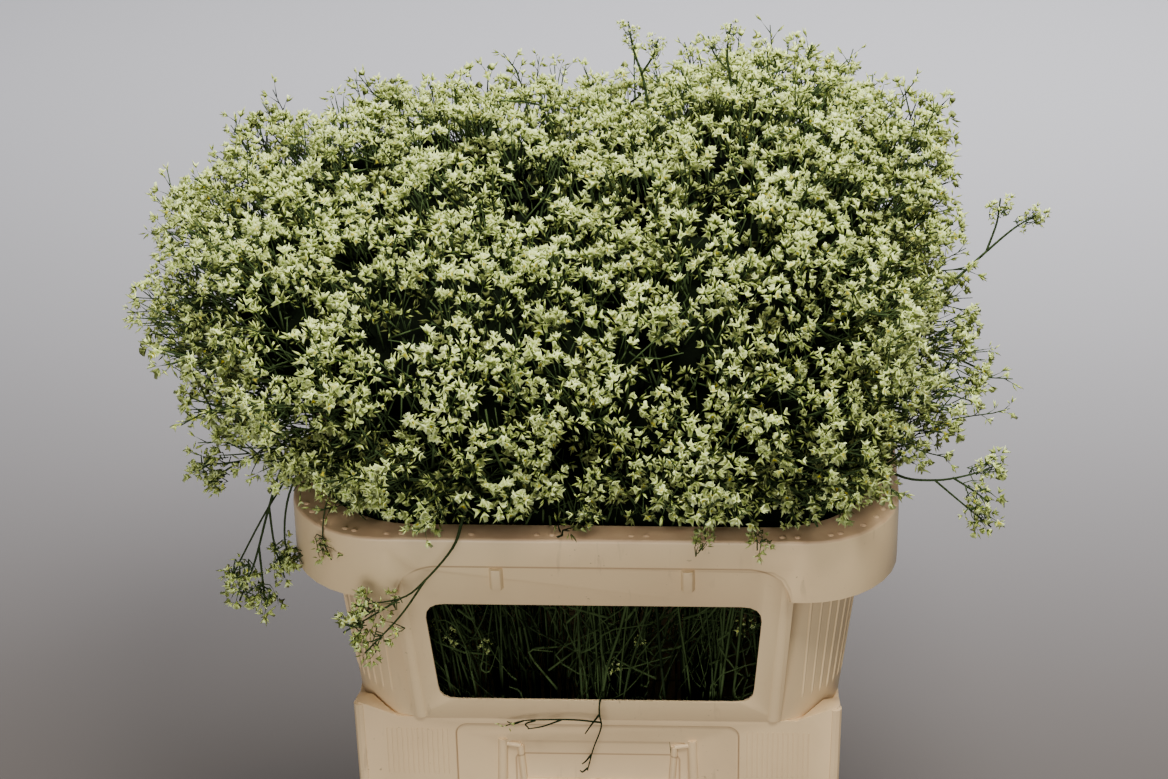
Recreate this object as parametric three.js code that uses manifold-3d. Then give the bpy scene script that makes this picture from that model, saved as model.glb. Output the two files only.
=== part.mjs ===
// Cut statice in a rectangular flower bucket with a flared collar.
// Millimetres, +Z up. The origin is the middle of the bucket's underside, and the front faces -Y.
import * as THREE from 'three';
import { ConvexGeometry } from 'three/addons/geometries/ConvexGeometry.js';
import { mergeVertices } from 'three/addons/utils/BufferGeometryUtils.js';
import Module from 'manifold-3d';

const wasm = await Module();
wasm.setup();

// Driving dimensions
const GAP = 0.3; // between pieces that touch
const PAST = 1; // how far a cutting shape runs past what it cuts

const BUCKET_HALF_LENGTH = 200;
const BUCKET_HALF_WIDTH = 150;
const BUCKET_CORNER = 8;
const BUCKET_DRAFT = 5.5; // how much narrower each side is at the foot
const BUCKET_WALL = 5;
const SEAT_HEIGHT = 320; // the collar stands here
const RAISED_CORNER_HEIGHT = 332;
const SEAT_WIDTH = 10;
const SEAT_DEPTH = 10;
const CORNER_CLEARANCE = 5; // between a raised corner and the collar
const PANEL = { halfLength: 117, halfHeight: 78, middleHeight: 235, corner: 10, depth: 1.6 };
const GRIP = { halfLength: 76, halfHeight: 24, middleHeight: 272, corner: 8, depth: 3.4 };

const COLLAR_HALF_LENGTH = 200.5; // at the seat
const COLLAR_HALF_WIDTH = 150.5;
const COLLAR_CORNER = 60;
const COLLAR_FLARE = 23.5; // how much wider each side is at the rim
const COLLAR_WALL = 3;
const RIM_HEIGHT = 520;
const RIM_HALF_LENGTH = 243;
const RIM_HALF_WIDTH = 193;
const RIM_CORNER = 76;
const SKIRT_FOOT = 464; // the lower edge of the band that hangs from the rim
const BAY = { foot: 150, shoulder: 158, top: 131, shoulderHeight: 462, topHeight: 494, back: 120 };
const WINDOW = { bottom: 342, top: 453, halfBottom: 129, halfTop: 134, corner: 16 };

const WATER_LEVEL = 75;
const BUNCH_FOOT_RADIUS = 10;
const BUNCH_FOOT_HEIGHT = 84;
const BUNCH_FOOT_SIDES = 6;
const STEM_RADIUS = 2.6;
const STEM_STEPS = 2;
const STEMS_A_BUNCH = 4;
const STEM_FOOT_REACH = 0.45; // of the radius of the bunch's foot
const STEM_TOP_REACH = 0.26; // of the narrower side of the bunch's crown
const STEM_ROOT = 12; // how deep the ends run into the foot, and past the cut at the top
const STEM_BEND = { along: 0.32, aside: 3 }; // where a stem passes the seat of the bucket

const CROWN_MIDDLE = new THREE.Vector3(-10, 0, 640);
const CROWN_HALF_LENGTH = 354;
const CROWN_HALF_WIDTH = 295;
const CROWN_RISE = 150; // from its widest level to its top
const CROWN_DROP = 142;
const CROWN_LEAN = 0.14; // the right side is the higher one
const CROWN_PLAN_POWER = 2.5; // 2 would be an ellipse, and more is squarer
const CROWN_TOP_POWER = 2.4;
const CROWN_UNDER_POWER = 2.2;
const CROWN_UNDERSIDE = 528; // just over the rim
const LEDGE_WIDTH = 18;
const LEDGE_SIGHT = 7; // how far the florets stay above the core's underside there
const CORE_INSET = 22; // how far the core lies under the faces of the florets
const CORE_FINENESS = 2;
const MOUTH = { foot: 508, halfLength: 216, halfWidth: 166, corner: 78 }; // filled by the core
const FAN_POINT = new THREE.Vector3(0, 0, 250); // the bunches spread as if from here
const BUNCH_GAP = 1;
const FLORET_RADIUS = 36;
const FLORET_NOTCH = 0.68; // of the radius, between two petals
const FLORET_DEPTH = 34;
const FLORET_SPACING = 52;
const FLORET_SIZES = [1, 0.75, 0.6]; // the smaller ones fill the gaps between the larger
const FLORET_VARIETY = 0.16; // of the radius
const FLORET_UNEVENNESS = 9;
const FLORET_EYE = 0.2; // how far the middle of a floret is sunk, of its depth
const FLORET_TILT = 0.5;
const FLORET_LIFT = 0.1; // a floret turns this much further up than the crown under it
const FLORET_THROWS = 500; // of each size, aimed at one bunch
const THROW_SPREAD = 400;
const PETALS = 5;
// One bunch in the middle, then two rings of them
const RINGS = [
  { bunches: 1, crownReach: 0, footReach: 0 },
  { bunches: 7, crownReach: 0.4, footReach: 0.48 },
  { bunches: 12, crownReach: 0.72, footReach: 0.98 },
];
const FOOT_HALF_LENGTH = 160;
const FOOT_HALF_WIDTH = 112;

// Single sprays that stray from the mass. Each branch is a line of points, and florets sit at its end
const SPRAY_FLORET_RADIUS = 15;
const SPRAY_FLORET_DEPTH = 20;
const SPRAYS = [
  {
    name: 'spray_over_front_rim',
    branches: [
      [
        [-92, -172, 556], [-100, -192, 537], [-107, -205, 520],
        [-129, -212, 494], [-149, -214, 478], [-186, -214, 471],
      ],
      [[-129, -212, 494], [-150, -215, 462], [-179, -216, 428]],
      [[-149, -214, 478], [-172, -215, 462], [-195, -214, 446]],
    ],
  },
  {
    name: 'spray_left_hanging',
    branches: [
      [[-222, -118, 566], [-246, -136, 552], [-259, -146, 519], [-273, -150, 471], [-288, -150, 433]],
      [[-259, -146, 519], [-256, -152, 488], [-250, -152, 457]],
      [[-269, -150, 485], [-267, -156, 455], [-266, -158, 432]],
    ],
  },
  {
    name: 'spray_left_low',
    branches: [
      [[-238, -96, 560], [-264, -112, 548], [-295, -120, 544], [-325, -122, 545]],
      [[-284, -118, 545], [-300, -128, 538], [-312, -132, 530]],
    ],
  },
  {
    name: 'spray_right_low',
    branches: [
      [[212, -108, 560], [240, -122, 540], [270, -125, 537], [298, -124, 542], [321, -122, 551]],
      [[270, -125, 537], [292, -132, 520], [315, -134, 500]],
      [[284, -124, 539], [300, -132, 532], [312, -140, 526]],
    ],
  },
  {
    name: 'spray_right_high',
    branches: [
      [[286, -10, 650], [318, -6, 682], [340, -3, 702], [362, 0, 716]],
      [[318, -6, 682], [330, 2, 708], [331, 4, 730]],
    ],
  },
  {
    name: 'sprig_top_left',
    branches: [
      [[44, 52, 752], [36, 58, 800], [28, 60, 826], [24, 60, 850]],
      [[34, 58, 806], [44, 54, 824], [48, 52, 838]],
    ],
  },
  {
    name: 'sprig_top_right',
    branches: [
      [[112, 52, 752], [106, 58, 800], [103, 60, 824], [106, 60, 848]],
      [[105, 58, 808], [93, 62, 822], [88, 64, 836]],
    ],
  },
];
const SPRAY_RADIUS = 2;
const BROKEN_TWIG = [
  [
    [8, -134, 345.8], [5, -147, 344.4], [3, -161, 343.6], [3, -166, 335.2],
    [4, -162, 320], [-3, -159, 296], [-8, -158, 274],
  ],
  [[4, -162, 325], [-18, -163, 328], [-42, -162, 327], [-75, -160, 319]],
];
const BROKEN_TWIG_RADIUS = 1.2;

const PLASTIC = matt('#c2b196', 0.5);
const COLLAR_PLASTIC = matt('#c8b79c', 0.48);
const WATER = matt('#b9c4b4', 0.08);
WATER.transparent = true;
WATER.opacity = 0.4;
const STEM_GREEN = matt('#3f5633', 0.7);
const FLORET_CREAM = matt('#d9dcb4', 0.8);
const SPRAY_GREEN = matt('#a9b57c', 0.75);
const TWIG_BROWN = matt('#2c2f20', 0.8);

const RANDOM_STEP = { factor: 1664525, addend: 1013904223, modulus: 2 ** 32 };
const FIRST_SEED = 100;
const WELD = 1e-4;
const CURVE_DIVISIONS = 4; // of half a rounded corner of the collar
const COARSE_DIVISIONS = 2;

function matt(color, roughness) {
  return new THREE.MeshStandardMaterial({ color, roughness, metalness: 0 });
}

// Random numbers that are the same each run
function seededRandom(seed) {
  const { factor, addend, modulus } = RANDOM_STEP;
  let state = seed;
  return () => {
    state = (state * factor + addend) % modulus;
    return state / modulus;
  };
}

// From a closed three.js geometry to a solid that can be joined and cut, and back
function solid(geometry) {
  const source = geometry.index ? geometry.toNonIndexed() : geometry;
  const bare = new THREE.BufferGeometry();
  bare.setAttribute('position', source.attributes.position);
  const welded = mergeVertices(bare, WELD);
  const vertProperties = new Float32Array(welded.attributes.position.array);
  const triVerts = new Uint32Array(welded.index.array);
  return new wasm.Manifold(new wasm.Mesh({ numProp: 3, vertProperties, triVerts }));
}

function joined(solids) {
  return solids.reduce((sum, next) => sum.add(next));
}

function largestPiece(body) {
  return body.decompose().reduce((best, piece) => (piece.volume() > best.volume() ? piece : best));
}

function part(name, body, material) {
  const mesh = body.getMesh();
  const geometry = new THREE.BufferGeometry();
  geometry.setAttribute('position', new THREE.BufferAttribute(new Float32Array(mesh.vertProperties), 3));
  geometry.setIndex(new THREE.BufferAttribute(new Uint32Array(mesh.triVerts), 1));
  geometry.computeVertexNormals();
  const node = new THREE.Mesh(geometry, material);
  node.name = name;
  return node;
}

// Outlines and the solids between them
function roundedShape(halfLength, halfWidth, corner) {
  const x = halfLength - corner;
  const y = halfWidth - corner;
  const quarter = Math.PI / 2;
  const shape = new THREE.Shape();
  shape.absarc(x, y, corner, 0, quarter);
  shape.absarc(-x, y, corner, quarter, 2 * quarter);
  shape.absarc(-x, -y, corner, 2 * quarter, 3 * quarter);
  shape.absarc(x, -y, corner, 3 * quarter, 4 * quarter);
  shape.closePath();
  return shape;
}

function ringAt(height, halfLength, halfWidth, corner, divisions) {
  const outline = roundedShape(halfLength, halfWidth, corner).getPoints(divisions);
  return outline.map((point) => new THREE.Vector3(point.x, point.y, height));
}

function between(lower, upper) {
  return solid(new ConvexGeometry([...lower, ...upper]));
}

// A shape drawn in X and Z, pushed along Y from one value to another
function pushedAlongY(shape, fromY, toY, curveSegments = CURVE_DIVISIONS) {
  const options = { depth: toY - fromY, bevelEnabled: false, curveSegments };
  const geometry = new THREE.ExtrudeGeometry(shape, options);
  geometry.rotateX(Math.PI / 2);
  geometry.translate(0, toY, 0);
  return solid(geometry);
}

function turnedToBack(body) {
  return body.rotate([0, 0, 180]);
}

// Bucket
function bucketRing(height, inset, corner, divisions) {
  const narrower = BUCKET_DRAFT * (1 - height / RAISED_CORNER_HEIGHT) + inset;
  return ringAt(height, BUCKET_HALF_LENGTH - narrower, BUCKET_HALF_WIDTH - narrower, corner, divisions);
}

function frontRecess({ halfLength, halfHeight, middleHeight, corner, depth }) {
  const lean = Math.atan(BUCKET_DRAFT / RAISED_CORNER_HEIGHT);
  const face = BUCKET_HALF_WIDTH - BUCKET_DRAFT * (1 - middleHeight / RAISED_CORNER_HEIGHT);
  const outline = roundedShape(halfLength, halfHeight, corner);
  const cutter = pushedAlongY(outline, -BUCKET_WALL, 0, COARSE_DIVISIONS);
  return cutter.rotate([THREE.MathUtils.radToDeg(lean), 0, 0]).translate([0, depth - face, middleHeight]);
}

function makeBucket() {
  const cavityTop = SEAT_HEIGHT - SEAT_DEPTH;
  const outside = between(
    bucketRing(0, 0, BUCKET_CORNER, 1),
    bucketRing(RAISED_CORNER_HEIGHT, 0, BUCKET_CORNER, 1),
  );
  const cavity = between(
    bucketRing(BUCKET_WALL, BUCKET_WALL, 2 * BUCKET_CORNER, 1),
    bucketRing(cavityTop, BUCKET_WALL, 2 * BUCKET_CORNER, 1),
  );
  const mouthCorner = COLLAR_CORNER - SEAT_WIDTH;
  const mouth = between(
    bucketRing(cavityTop - PAST, SEAT_WIDTH, mouthCorner, COARSE_DIVISIONS),
    bucketRing(SEAT_HEIGHT + PAST, SEAT_WIDTH, mouthCorner, COARSE_DIVISIONS),
  );
  const clearanceCorner = COLLAR_CORNER + CORNER_CLEARANCE;
  const halfLength = BUCKET_HALF_LENGTH + CORNER_CLEARANCE;
  const halfWidth = BUCKET_HALF_WIDTH + CORNER_CLEARANCE;
  const clearance = between(
    ringAt(SEAT_HEIGHT, halfLength, halfWidth, clearanceCorner, COARSE_DIVISIONS),
    ringAt(RAISED_CORNER_HEIGHT + PAST, halfLength, halfWidth, clearanceCorner, COARSE_DIVISIONS),
  );
  const recesses = [PANEL, GRIP].map(frontRecess);
  const cuts = [cavity, mouth, clearance, ...recesses, ...recesses.map(turnedToBack)];
  return cuts.reduce((body, cut) => body.subtract(cut), outside);
}

// Collar
function collarRing(height, inset) {
  const flare = COLLAR_FLARE * (height - SEAT_HEIGHT) / (RIM_HEIGHT - SEAT_HEIGHT) - inset;
  const size = [COLLAR_HALF_LENGTH + flare, COLLAR_HALF_WIDTH + flare, COLLAR_CORNER + flare];
  return ringAt(height, ...size, CURVE_DIVISIONS);
}

function rimPrism(fromHeight, toHeight, inset) {
  const size = [RIM_HALF_LENGTH - inset, RIM_HALF_WIDTH - inset, RIM_CORNER - inset, CURVE_DIVISIONS];
  return between(ringAt(fromHeight, ...size), ringAt(toHeight, ...size));
}

// The outline of the panel that leans out under the rim, seen from the front and made larger by grow
function bayShape(grow) {
  const shape = new THREE.Shape();
  const floor = SEAT_HEIGHT + GAP;
  const foot = BAY.foot + grow;
  const shoulder = BAY.shoulder + grow;
  const top = BAY.topHeight + grow;
  shape.moveTo(-foot, floor);
  shape.lineTo(foot, floor);
  shape.lineTo(shoulder, BAY.shoulderHeight);
  shape.quadraticCurveTo(shoulder, top, BAY.top, top);
  shape.lineTo(-BAY.top, top);
  shape.quadraticCurveTo(-shoulder, top, -shoulder, BAY.shoulderHeight);
  shape.closePath();
  return shape;
}

// Everything behind the leaning face of the panel, moved back by inset
function behindBayFace(inset, topHeight) {
  const footY = -COLLAR_HALF_WIDTH + inset;
  const topY = -RIM_HALF_WIDTH + inset;
  const floor = SEAT_HEIGHT - inset;
  const corners = [];
  for (const x of [-RIM_HALF_LENGTH, RIM_HALF_LENGTH]) {
    corners.push(new THREE.Vector3(x, footY, floor), new THREE.Vector3(x, topY, BAY.topHeight));
    corners.push(new THREE.Vector3(x, topY, topHeight), new THREE.Vector3(x, -BAY.back, topHeight));
    corners.push(new THREE.Vector3(x, -BAY.back, floor));
  }
  return solid(new ConvexGeometry(corners));
}

function makeBay() {
  const front = -RIM_HALF_WIDTH - PAST;
  const panel = behindBayFace(0, BAY.topHeight + PAST);
  const outer = pushedAlongY(bayShape(PAST), front, -BAY.back).intersect(panel);
  const inner = pushedAlongY(bayShape(-COLLAR_WALL), front, -BAY.back + PAST);
  const shell = outer.subtract(inner.intersect(behindBayFace(COLLAR_WALL, RIM_HEIGHT)));
  const rim = pushedAlongY(bayShape(PAST), PAST - RIM_HALF_WIDTH, -BAY.back).subtract(inner);
  return shell.add(rim.trimByPlane([0, 0, 1], SKIRT_FOOT));
}

function windowShape() {
  const shape = new THREE.Shape();
  const { bottom, top, halfBottom, halfTop, corner } = WINDOW;
  shape.moveTo(-halfBottom + corner, bottom);
  shape.lineTo(halfBottom - corner, bottom);
  shape.quadraticCurveTo(halfBottom, bottom, halfBottom, bottom + corner);
  shape.lineTo(halfTop, top - corner);
  shape.quadraticCurveTo(halfTop, top, halfTop - corner, top);
  shape.lineTo(-halfTop + corner, top);
  shape.quadraticCurveTo(-halfTop, top, -halfTop, top - corner);
  shape.lineTo(-halfBottom, bottom + corner);
  shape.quadraticCurveTo(-halfBottom, bottom, -halfBottom + corner, bottom);
  return shape;
}

function makeCollar() {
  const floor = SEAT_HEIGHT + GAP;
  const wall = between(collarRing(floor, 0), collarRing(RIM_HEIGHT, 0));
  const inside = between(
    collarRing(SEAT_HEIGHT - PAST, COLLAR_WALL),
    collarRing(RIM_HEIGHT + PAST, COLLAR_WALL),
  );
  const skirt = rimPrism(SKIRT_FOOT, RIM_HEIGHT, 0);
  const underRim = rimPrism(SKIRT_FOOT - PAST, RIM_HEIGHT - COLLAR_WALL, COLLAR_WALL);
  const placeOfBay = pushedAlongY(bayShape(0), -RIM_HALF_WIDTH - PAST, -BAY.back);
  const bay = makeBay();
  const opening = pushedAlongY(windowShape(), -RIM_HALF_WIDTH - PAST, -BAY.back);
  const ring = skirt.subtract(underRim).add(wall).subtract(placeOfBay).subtract(turnedToBack(placeOfBay));
  const whole = joined([ring, bay, turnedToBack(bay)]).subtract(inside);
  return largestPiece(whole.subtract(opening).subtract(turnedToBack(opening)));
}

// Crown: the rounded surface that the faces of the florets reach
function power(value, exponent) {
  return Math.abs(value) ** exponent;
}

function crownRadius(direction) {
  const rise = CROWN_RISE * (1 + CROWN_LEAN * direction.x);
  const [height, exponent] = direction.z > 0 ? [rise, CROWN_TOP_POWER] : [CROWN_DROP, CROWN_UNDER_POWER];
  const plan = power(direction.x / CROWN_HALF_LENGTH, CROWN_PLAN_POWER)
    + power(direction.y / CROWN_HALF_WIDTH, CROWN_PLAN_POWER);
  const whole = plan ** (exponent / CROWN_PLAN_POWER) + power(direction.z / height, exponent);
  return whole ** (-1 / exponent);
}

function onCrown(direction, inset) {
  return direction.clone().multiplyScalar(crownRadius(direction) - inset).add(CROWN_MIDDLE);
}

// Which way the crown faces at a direction from its middle, from two small steps aside
function crownNormal(direction) {
  const step = 0.02;
  const aside = new THREE.Vector3(direction.y, direction.z, -direction.x);
  const across = new THREE.Vector3().crossVectors(direction, aside).setLength(step);
  const along = new THREE.Vector3().crossVectors(direction, across).setLength(step);
  const move = (shift) => onCrown(direction.clone().add(shift).normalize(), 0);
  const first = move(across).sub(move(across.clone().negate()));
  const second = move(along).sub(move(along.clone().negate()));
  const normal = first.cross(second).normalize();
  return normal.multiplyScalar(Math.sign(normal.dot(direction)));
}

// What the florets stand on. It is cut flat just over the rim, and under that it fills the collar's mouth
function makeCore() {
  const geometry = new THREE.IcosahedronGeometry(1, CORE_FINENESS);
  const position = geometry.attributes.position;
  const direction = new THREE.Vector3();
  for (let index = 0; index < position.count; index += 1) {
    direction.fromBufferAttribute(position, index).normalize();
    const inset = direction.z > 0 ? CORE_INSET : CORE_INSET * Math.hypot(direction.x, direction.y);
    const point = onCrown(direction, inset);
    position.setXYZ(index, point.x, point.y, point.z);
  }
  const { foot, halfLength, halfWidth, corner } = MOUTH;
  const mouth = between(
    ringAt(foot, halfLength, halfWidth, corner, COARSE_DIVISIONS),
    ringAt(CROWN_UNDERSIDE + PAST, halfLength, halfWidth, corner, COARSE_DIVISIONS),
  );
  return solid(geometry).trimByPlane([0, 0, 1], CROWN_UNDERSIDE).add(mouth);
}

// Bunches: where each stands in the bucket and which way it leans out
function placeInPlan(angle, halfLength, halfWidth, reach) {
  const exponent = 2 / CROWN_PLAN_POWER;
  const along = Math.sign(Math.cos(angle)) * power(Math.cos(angle), exponent);
  const across = Math.sign(Math.sin(angle)) * power(Math.sin(angle), exponent);
  return new THREE.Vector3(along * halfLength * reach, across * halfWidth * reach, 0);
}

function bunchPlaces() {
  const places = [];
  RINGS.forEach((ring, ringIndex) => {
    for (let index = 0; index < ring.bunches; index += 1) {
      const angle = (index + ringIndex / 2) * 2 * Math.PI / ring.bunches;
      const foot = placeInPlan(angle, FOOT_HALF_LENGTH, FOOT_HALF_WIDTH, ring.footReach);
      const middle = placeInPlan(angle, CROWN_HALF_LENGTH, CROWN_HALF_WIDTH, ring.crownReach);
      const toSurface = middle.clone().setZ(CROWN_RISE * (1 - ring.crownReach)).normalize();
      const crown = onCrown(toSurface, 0);
      places.push({ foot, crown, lean: crown.clone().sub(FAN_POINT).normalize() });
    }
  });
  return places;
}

// The planes that part a bunch from its neighbours, as normals through the fan point
function bunchPlanes(places, index) {
  const own = places[index].lean;
  const others = places.filter((place, other) => other !== index);
  return others.map((place) => own.clone().sub(place.lean).normalize());
}

function insideBunch(point, planes, margin) {
  const offset = point.clone().sub(FAN_POINT);
  return planes.every((normal) => offset.dot(normal) > margin);
}

// One floret: a funnel whose edge is cut into petals, with its point at the origin and its face up
function floretGeometry(radius, depth) {
  const geometry = new THREE.ConeGeometry(radius, depth, 2 * PETALS, 1);
  geometry.rotateX(-Math.PI / 2);
  geometry.translate(0, 0, depth / 2);
  const position = geometry.attributes.position;
  for (let index = 0; index < position.count; index += 1) {
    const x = position.getX(index);
    const y = position.getY(index);
    const step = Math.round(Math.atan2(y, x) / (Math.PI / PETALS));
    const onEdge = Math.hypot(x, y) > radius / 2;
    const inNotch = onEdge && Math.abs(step) % 2 === 1;
    const inMiddle = !onEdge && position.getZ(index) > depth / 2;
    const narrow = inNotch ? FLORET_NOTCH : 1;
    const sunk = inMiddle ? depth * FLORET_EYE : 0;
    position.setXYZ(index, x * narrow, y * narrow, position.getZ(index) - sunk);
  }
  return geometry;
}

// The move that takes a floret from the origin to a root, turned so that it looks along aim
function pose(root, aim, angle) {
  const up = new THREE.Vector3(0, 0, 1);
  const spin = new THREE.Quaternion().setFromAxisAngle(up, angle);
  const turn = new THREE.Quaternion().setFromUnitVectors(up, aim).multiply(spin);
  return new THREE.Matrix4().compose(root, turn, new THREE.Vector3(1, 1, 1));
}

function floretPose(point, normal, random) {
  const tilt = () => (random() - 0.5) * FLORET_TILT;
  const shift = new THREE.Vector3(tilt(), tilt(), tilt() + FLORET_LIFT);
  const aim = normal.clone().add(shift).normalize();
  const root = point.clone().addScaledVector(aim, -FLORET_DEPTH);
  return pose(root, aim, random() * 2 * Math.PI);
}

function cornersOf(geometry) {
  const position = geometry.attributes.position;
  const corners = [];
  for (let index = 0; index < position.count; index += 1) {
    corners.push(new THREE.Vector3().fromBufferAttribute(position, index));
  }
  return corners;
}

// Over the ledge of the rim the florets stay higher, so that it shows
function aboveRim(corner) {
  const overLedge = Math.abs(corner.y) > RIM_HALF_WIDTH - LEDGE_WIDTH;
  return corner.z > CROWN_UNDERSIDE + (overLedge ? LEDGE_SIGHT : GAP);
}

// A place on the crown for one more floret of a size, unless another floret is too near
function throwPlace({ crown }, planes, taken, size, random) {
  const offset = [random(), random(), random()].map((value) => (value - 0.5) * THROW_SPREAD);
  const direction = new THREE.Vector3(...offset).add(crown).sub(CROWN_MIDDLE).normalize();
  const point = onCrown(direction, FLORET_UNEVENNESS * (random() - 0.5));
  const isNear = (other) => other.point.distanceTo(point) < FLORET_SPACING * (size + other.size) / 2;
  const fits = insideBunch(point, planes, size * FLORET_RADIUS / 2) && !taken.some(isNear);
  return fits ? { point, size, normal: crownNormal(direction) } : null;
}

function makeFloret({ point, size, normal }, random) {
  const radius = size * FLORET_RADIUS * (1 + FLORET_VARIETY * (random() - 0.5));
  return floretGeometry(radius, FLORET_DEPTH).applyMatrix4(floretPose(point, normal, random));
}

function throwFlorets(target, planes, random) {
  const fits = (corner) => insideBunch(corner, planes, BUNCH_GAP / 2) && aboveRim(corner);
  const florets = [];
  const taken = [];
  for (const size of FLORET_SIZES) {
    for (let count = 0; count < FLORET_THROWS; count += 1) {
      const place = throwPlace(target, planes, taken, size, random);
      const floret = place && makeFloret(place, random);
      if (floret && cornersOf(floret).every(fits)) {
        florets.push(solid(floret));
        taken.push(place);
      }
    }
  }
  return florets;
}

const core = makeCore();
const roomForSprays = SPRAYS.map(({ branches }) => makeSpray(branches, GAP));

function makeFlowers(target, planes, random) {
  const share = planes.reduce((body, normal) => {
    const offset = normal.dot(FAN_POINT) + BUNCH_GAP / 2;
    return body.trimByPlane(normal.toArray(), offset);
  }, core);
  const whole = joined([share, ...throwFlorets(target, planes, random)]);
  return largestPiece(roomForSprays.reduce((body, room) => body.subtract(room), whole));
}

// Three-sided stem along a smooth line through some points
function stemAlong(points, radius, steps) {
  const third = 2 * Math.PI / 3;
  const section = new THREE.Shape();
  section.moveTo(radius, 0);
  section.lineTo(radius * Math.cos(third), radius * Math.sin(third));
  section.lineTo(radius * Math.cos(2 * third), radius * Math.sin(2 * third));
  section.closePath();
  const extrudePath = new THREE.CatmullRomCurve3(points);
  return solid(new THREE.ExtrudeGeometry(section, { steps, bevelEnabled: false, extrudePath }));
}

function bunchFoot(foot, extra) {
  const radius = BUNCH_FOOT_RADIUS + extra;
  const geometry = new THREE.CylinderGeometry(radius, radius, BUNCH_FOOT_HEIGHT, BUNCH_FOOT_SIDES);
  geometry.rotateX(Math.PI / 2);
  geometry.translate(foot.x, foot.y, BUCKET_WALL + GAP + BUNCH_FOOT_HEIGHT / 2);
  return solid(geometry);
}

function makeStems(place, flowers, random) {
  const slice = flowers.trimByPlane([0, 0, -1], -MOUTH.foot - PAST).boundingBox();
  const low = new THREE.Vector3(...slice.min);
  const high = new THREE.Vector3(...slice.max);
  const middle = low.clone().add(high).divideScalar(2);
  const spread = Math.min(high.x - low.x, high.y - low.y) * STEM_TOP_REACH;
  const stems = [bunchFoot(place.foot, 0)];
  for (let index = 0; index < STEMS_A_BUNCH; index += 1) {
    const angle = 2 * Math.PI * (index + random() / 2) / STEMS_A_BUNCH;
    const aside = new THREE.Vector3(Math.cos(angle), Math.sin(angle), 0);
    const start = place.foot.clone().addScaledVector(aside, BUNCH_FOOT_RADIUS * STEM_FOOT_REACH);
    start.setZ(BUNCH_FOOT_HEIGHT - STEM_ROOT);
    const end = middle.clone().addScaledVector(aside, spread).setZ(MOUTH.foot + STEM_ROOT);
    const bend = start.clone().lerp(end, STEM_BEND.along).addScaledVector(aside, STEM_BEND.aside);
    stems.push(stemAlong([start, bend.setZ(SEAT_HEIGHT), end], STEM_RADIUS, STEM_STEPS));
  }
  return joined(stems).trimByPlane([0, 0, -1], GAP - MOUTH.foot);
}

// Water, with a plain hole for the foot of each bunch
function makeWater(places) {
  const body = between(
    bucketRing(BUCKET_WALL + GAP, BUCKET_WALL + GAP, 2 * BUCKET_CORNER, 1),
    bucketRing(WATER_LEVEL, BUCKET_WALL + GAP, 2 * BUCKET_CORNER, 1),
  );
  const holes = places.map((place) => bunchFoot(place.foot, GAP / Math.cos(Math.PI / BUNCH_FOOT_SIDES)));
  const plain = holes.map((hole) => hole.add(hole.translate([0, 0, -PAST])));
  return plain.reduce((water, hole) => water.subtract(hole), body);
}

function toPoints(list) {
  return list.map((values) => new THREE.Vector3(...values));
}

// A spray, or with grow more than 0 the room that it needs in what it grows out of
function makeSpray(branches, grow) {
  const solids = branches.flatMap((list) => {
    const points = toPoints(list);
    const [first, second] = points;
    const last = points[points.length - 1];
    const heading = last.clone().sub(points[points.length - 2]).normalize();
    const root = last.clone().addScaledVector(heading, -SPRAY_RADIUS);
    const floret = floretGeometry(SPRAY_FLORET_RADIUS + 2 * grow, SPRAY_FLORET_DEPTH + 2 * grow);
    first.add(first.clone().sub(second).setLength(grow));
    return [
      stemAlong(points, SPRAY_RADIUS + 2 * grow, points.length - 1),
      solid(floret.applyMatrix4(pose(root, heading, 0))),
    ];
  });
  return largestPiece(joined(solids));
}

function makeBrokenTwig() {
  return joined(BROKEN_TWIG.map((list) => stemAlong(toPoints(list), BROKEN_TWIG_RADIUS, list.length)));
}

const statice = new THREE.Group();
const places = bunchPlaces();
statice.add(part('bucket', makeBucket(), PLASTIC));
statice.add(part('collar', makeCollar(), COLLAR_PLASTIC));
statice.add(part('water', makeWater(places), WATER));
statice.add(part('broken_twig', makeBrokenTwig(), TWIG_BROWN));
SPRAYS.forEach(({ name, branches }) => {
  statice.add(part(name, makeSpray(branches, 0), SPRAY_GREEN));
});
places.forEach((place, index) => {
  const random = seededRandom(FIRST_SEED + index);
  const flowers = makeFlowers(place, bunchPlanes(places, index), random);
  const number = String(index + 1).padStart(2, '0');
  statice.add(part(`flowers_${number}`, flowers, FLORET_CREAM));
  statice.add(part(`stems_${number}`, makeStems(place, flowers, random), STEM_GREEN));
});

export default statice;
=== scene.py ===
# %% [markdown]
# # Cut statice in a flower bucket
# The real object is a plastic flower bucket with a flared collar on it. Twenty bunches of
# statice stand in it, and their florets close into one rounded crown. This script loads the
# model of its solids, which fixes every size and place, and dresses it. Lengths are metres.

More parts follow.
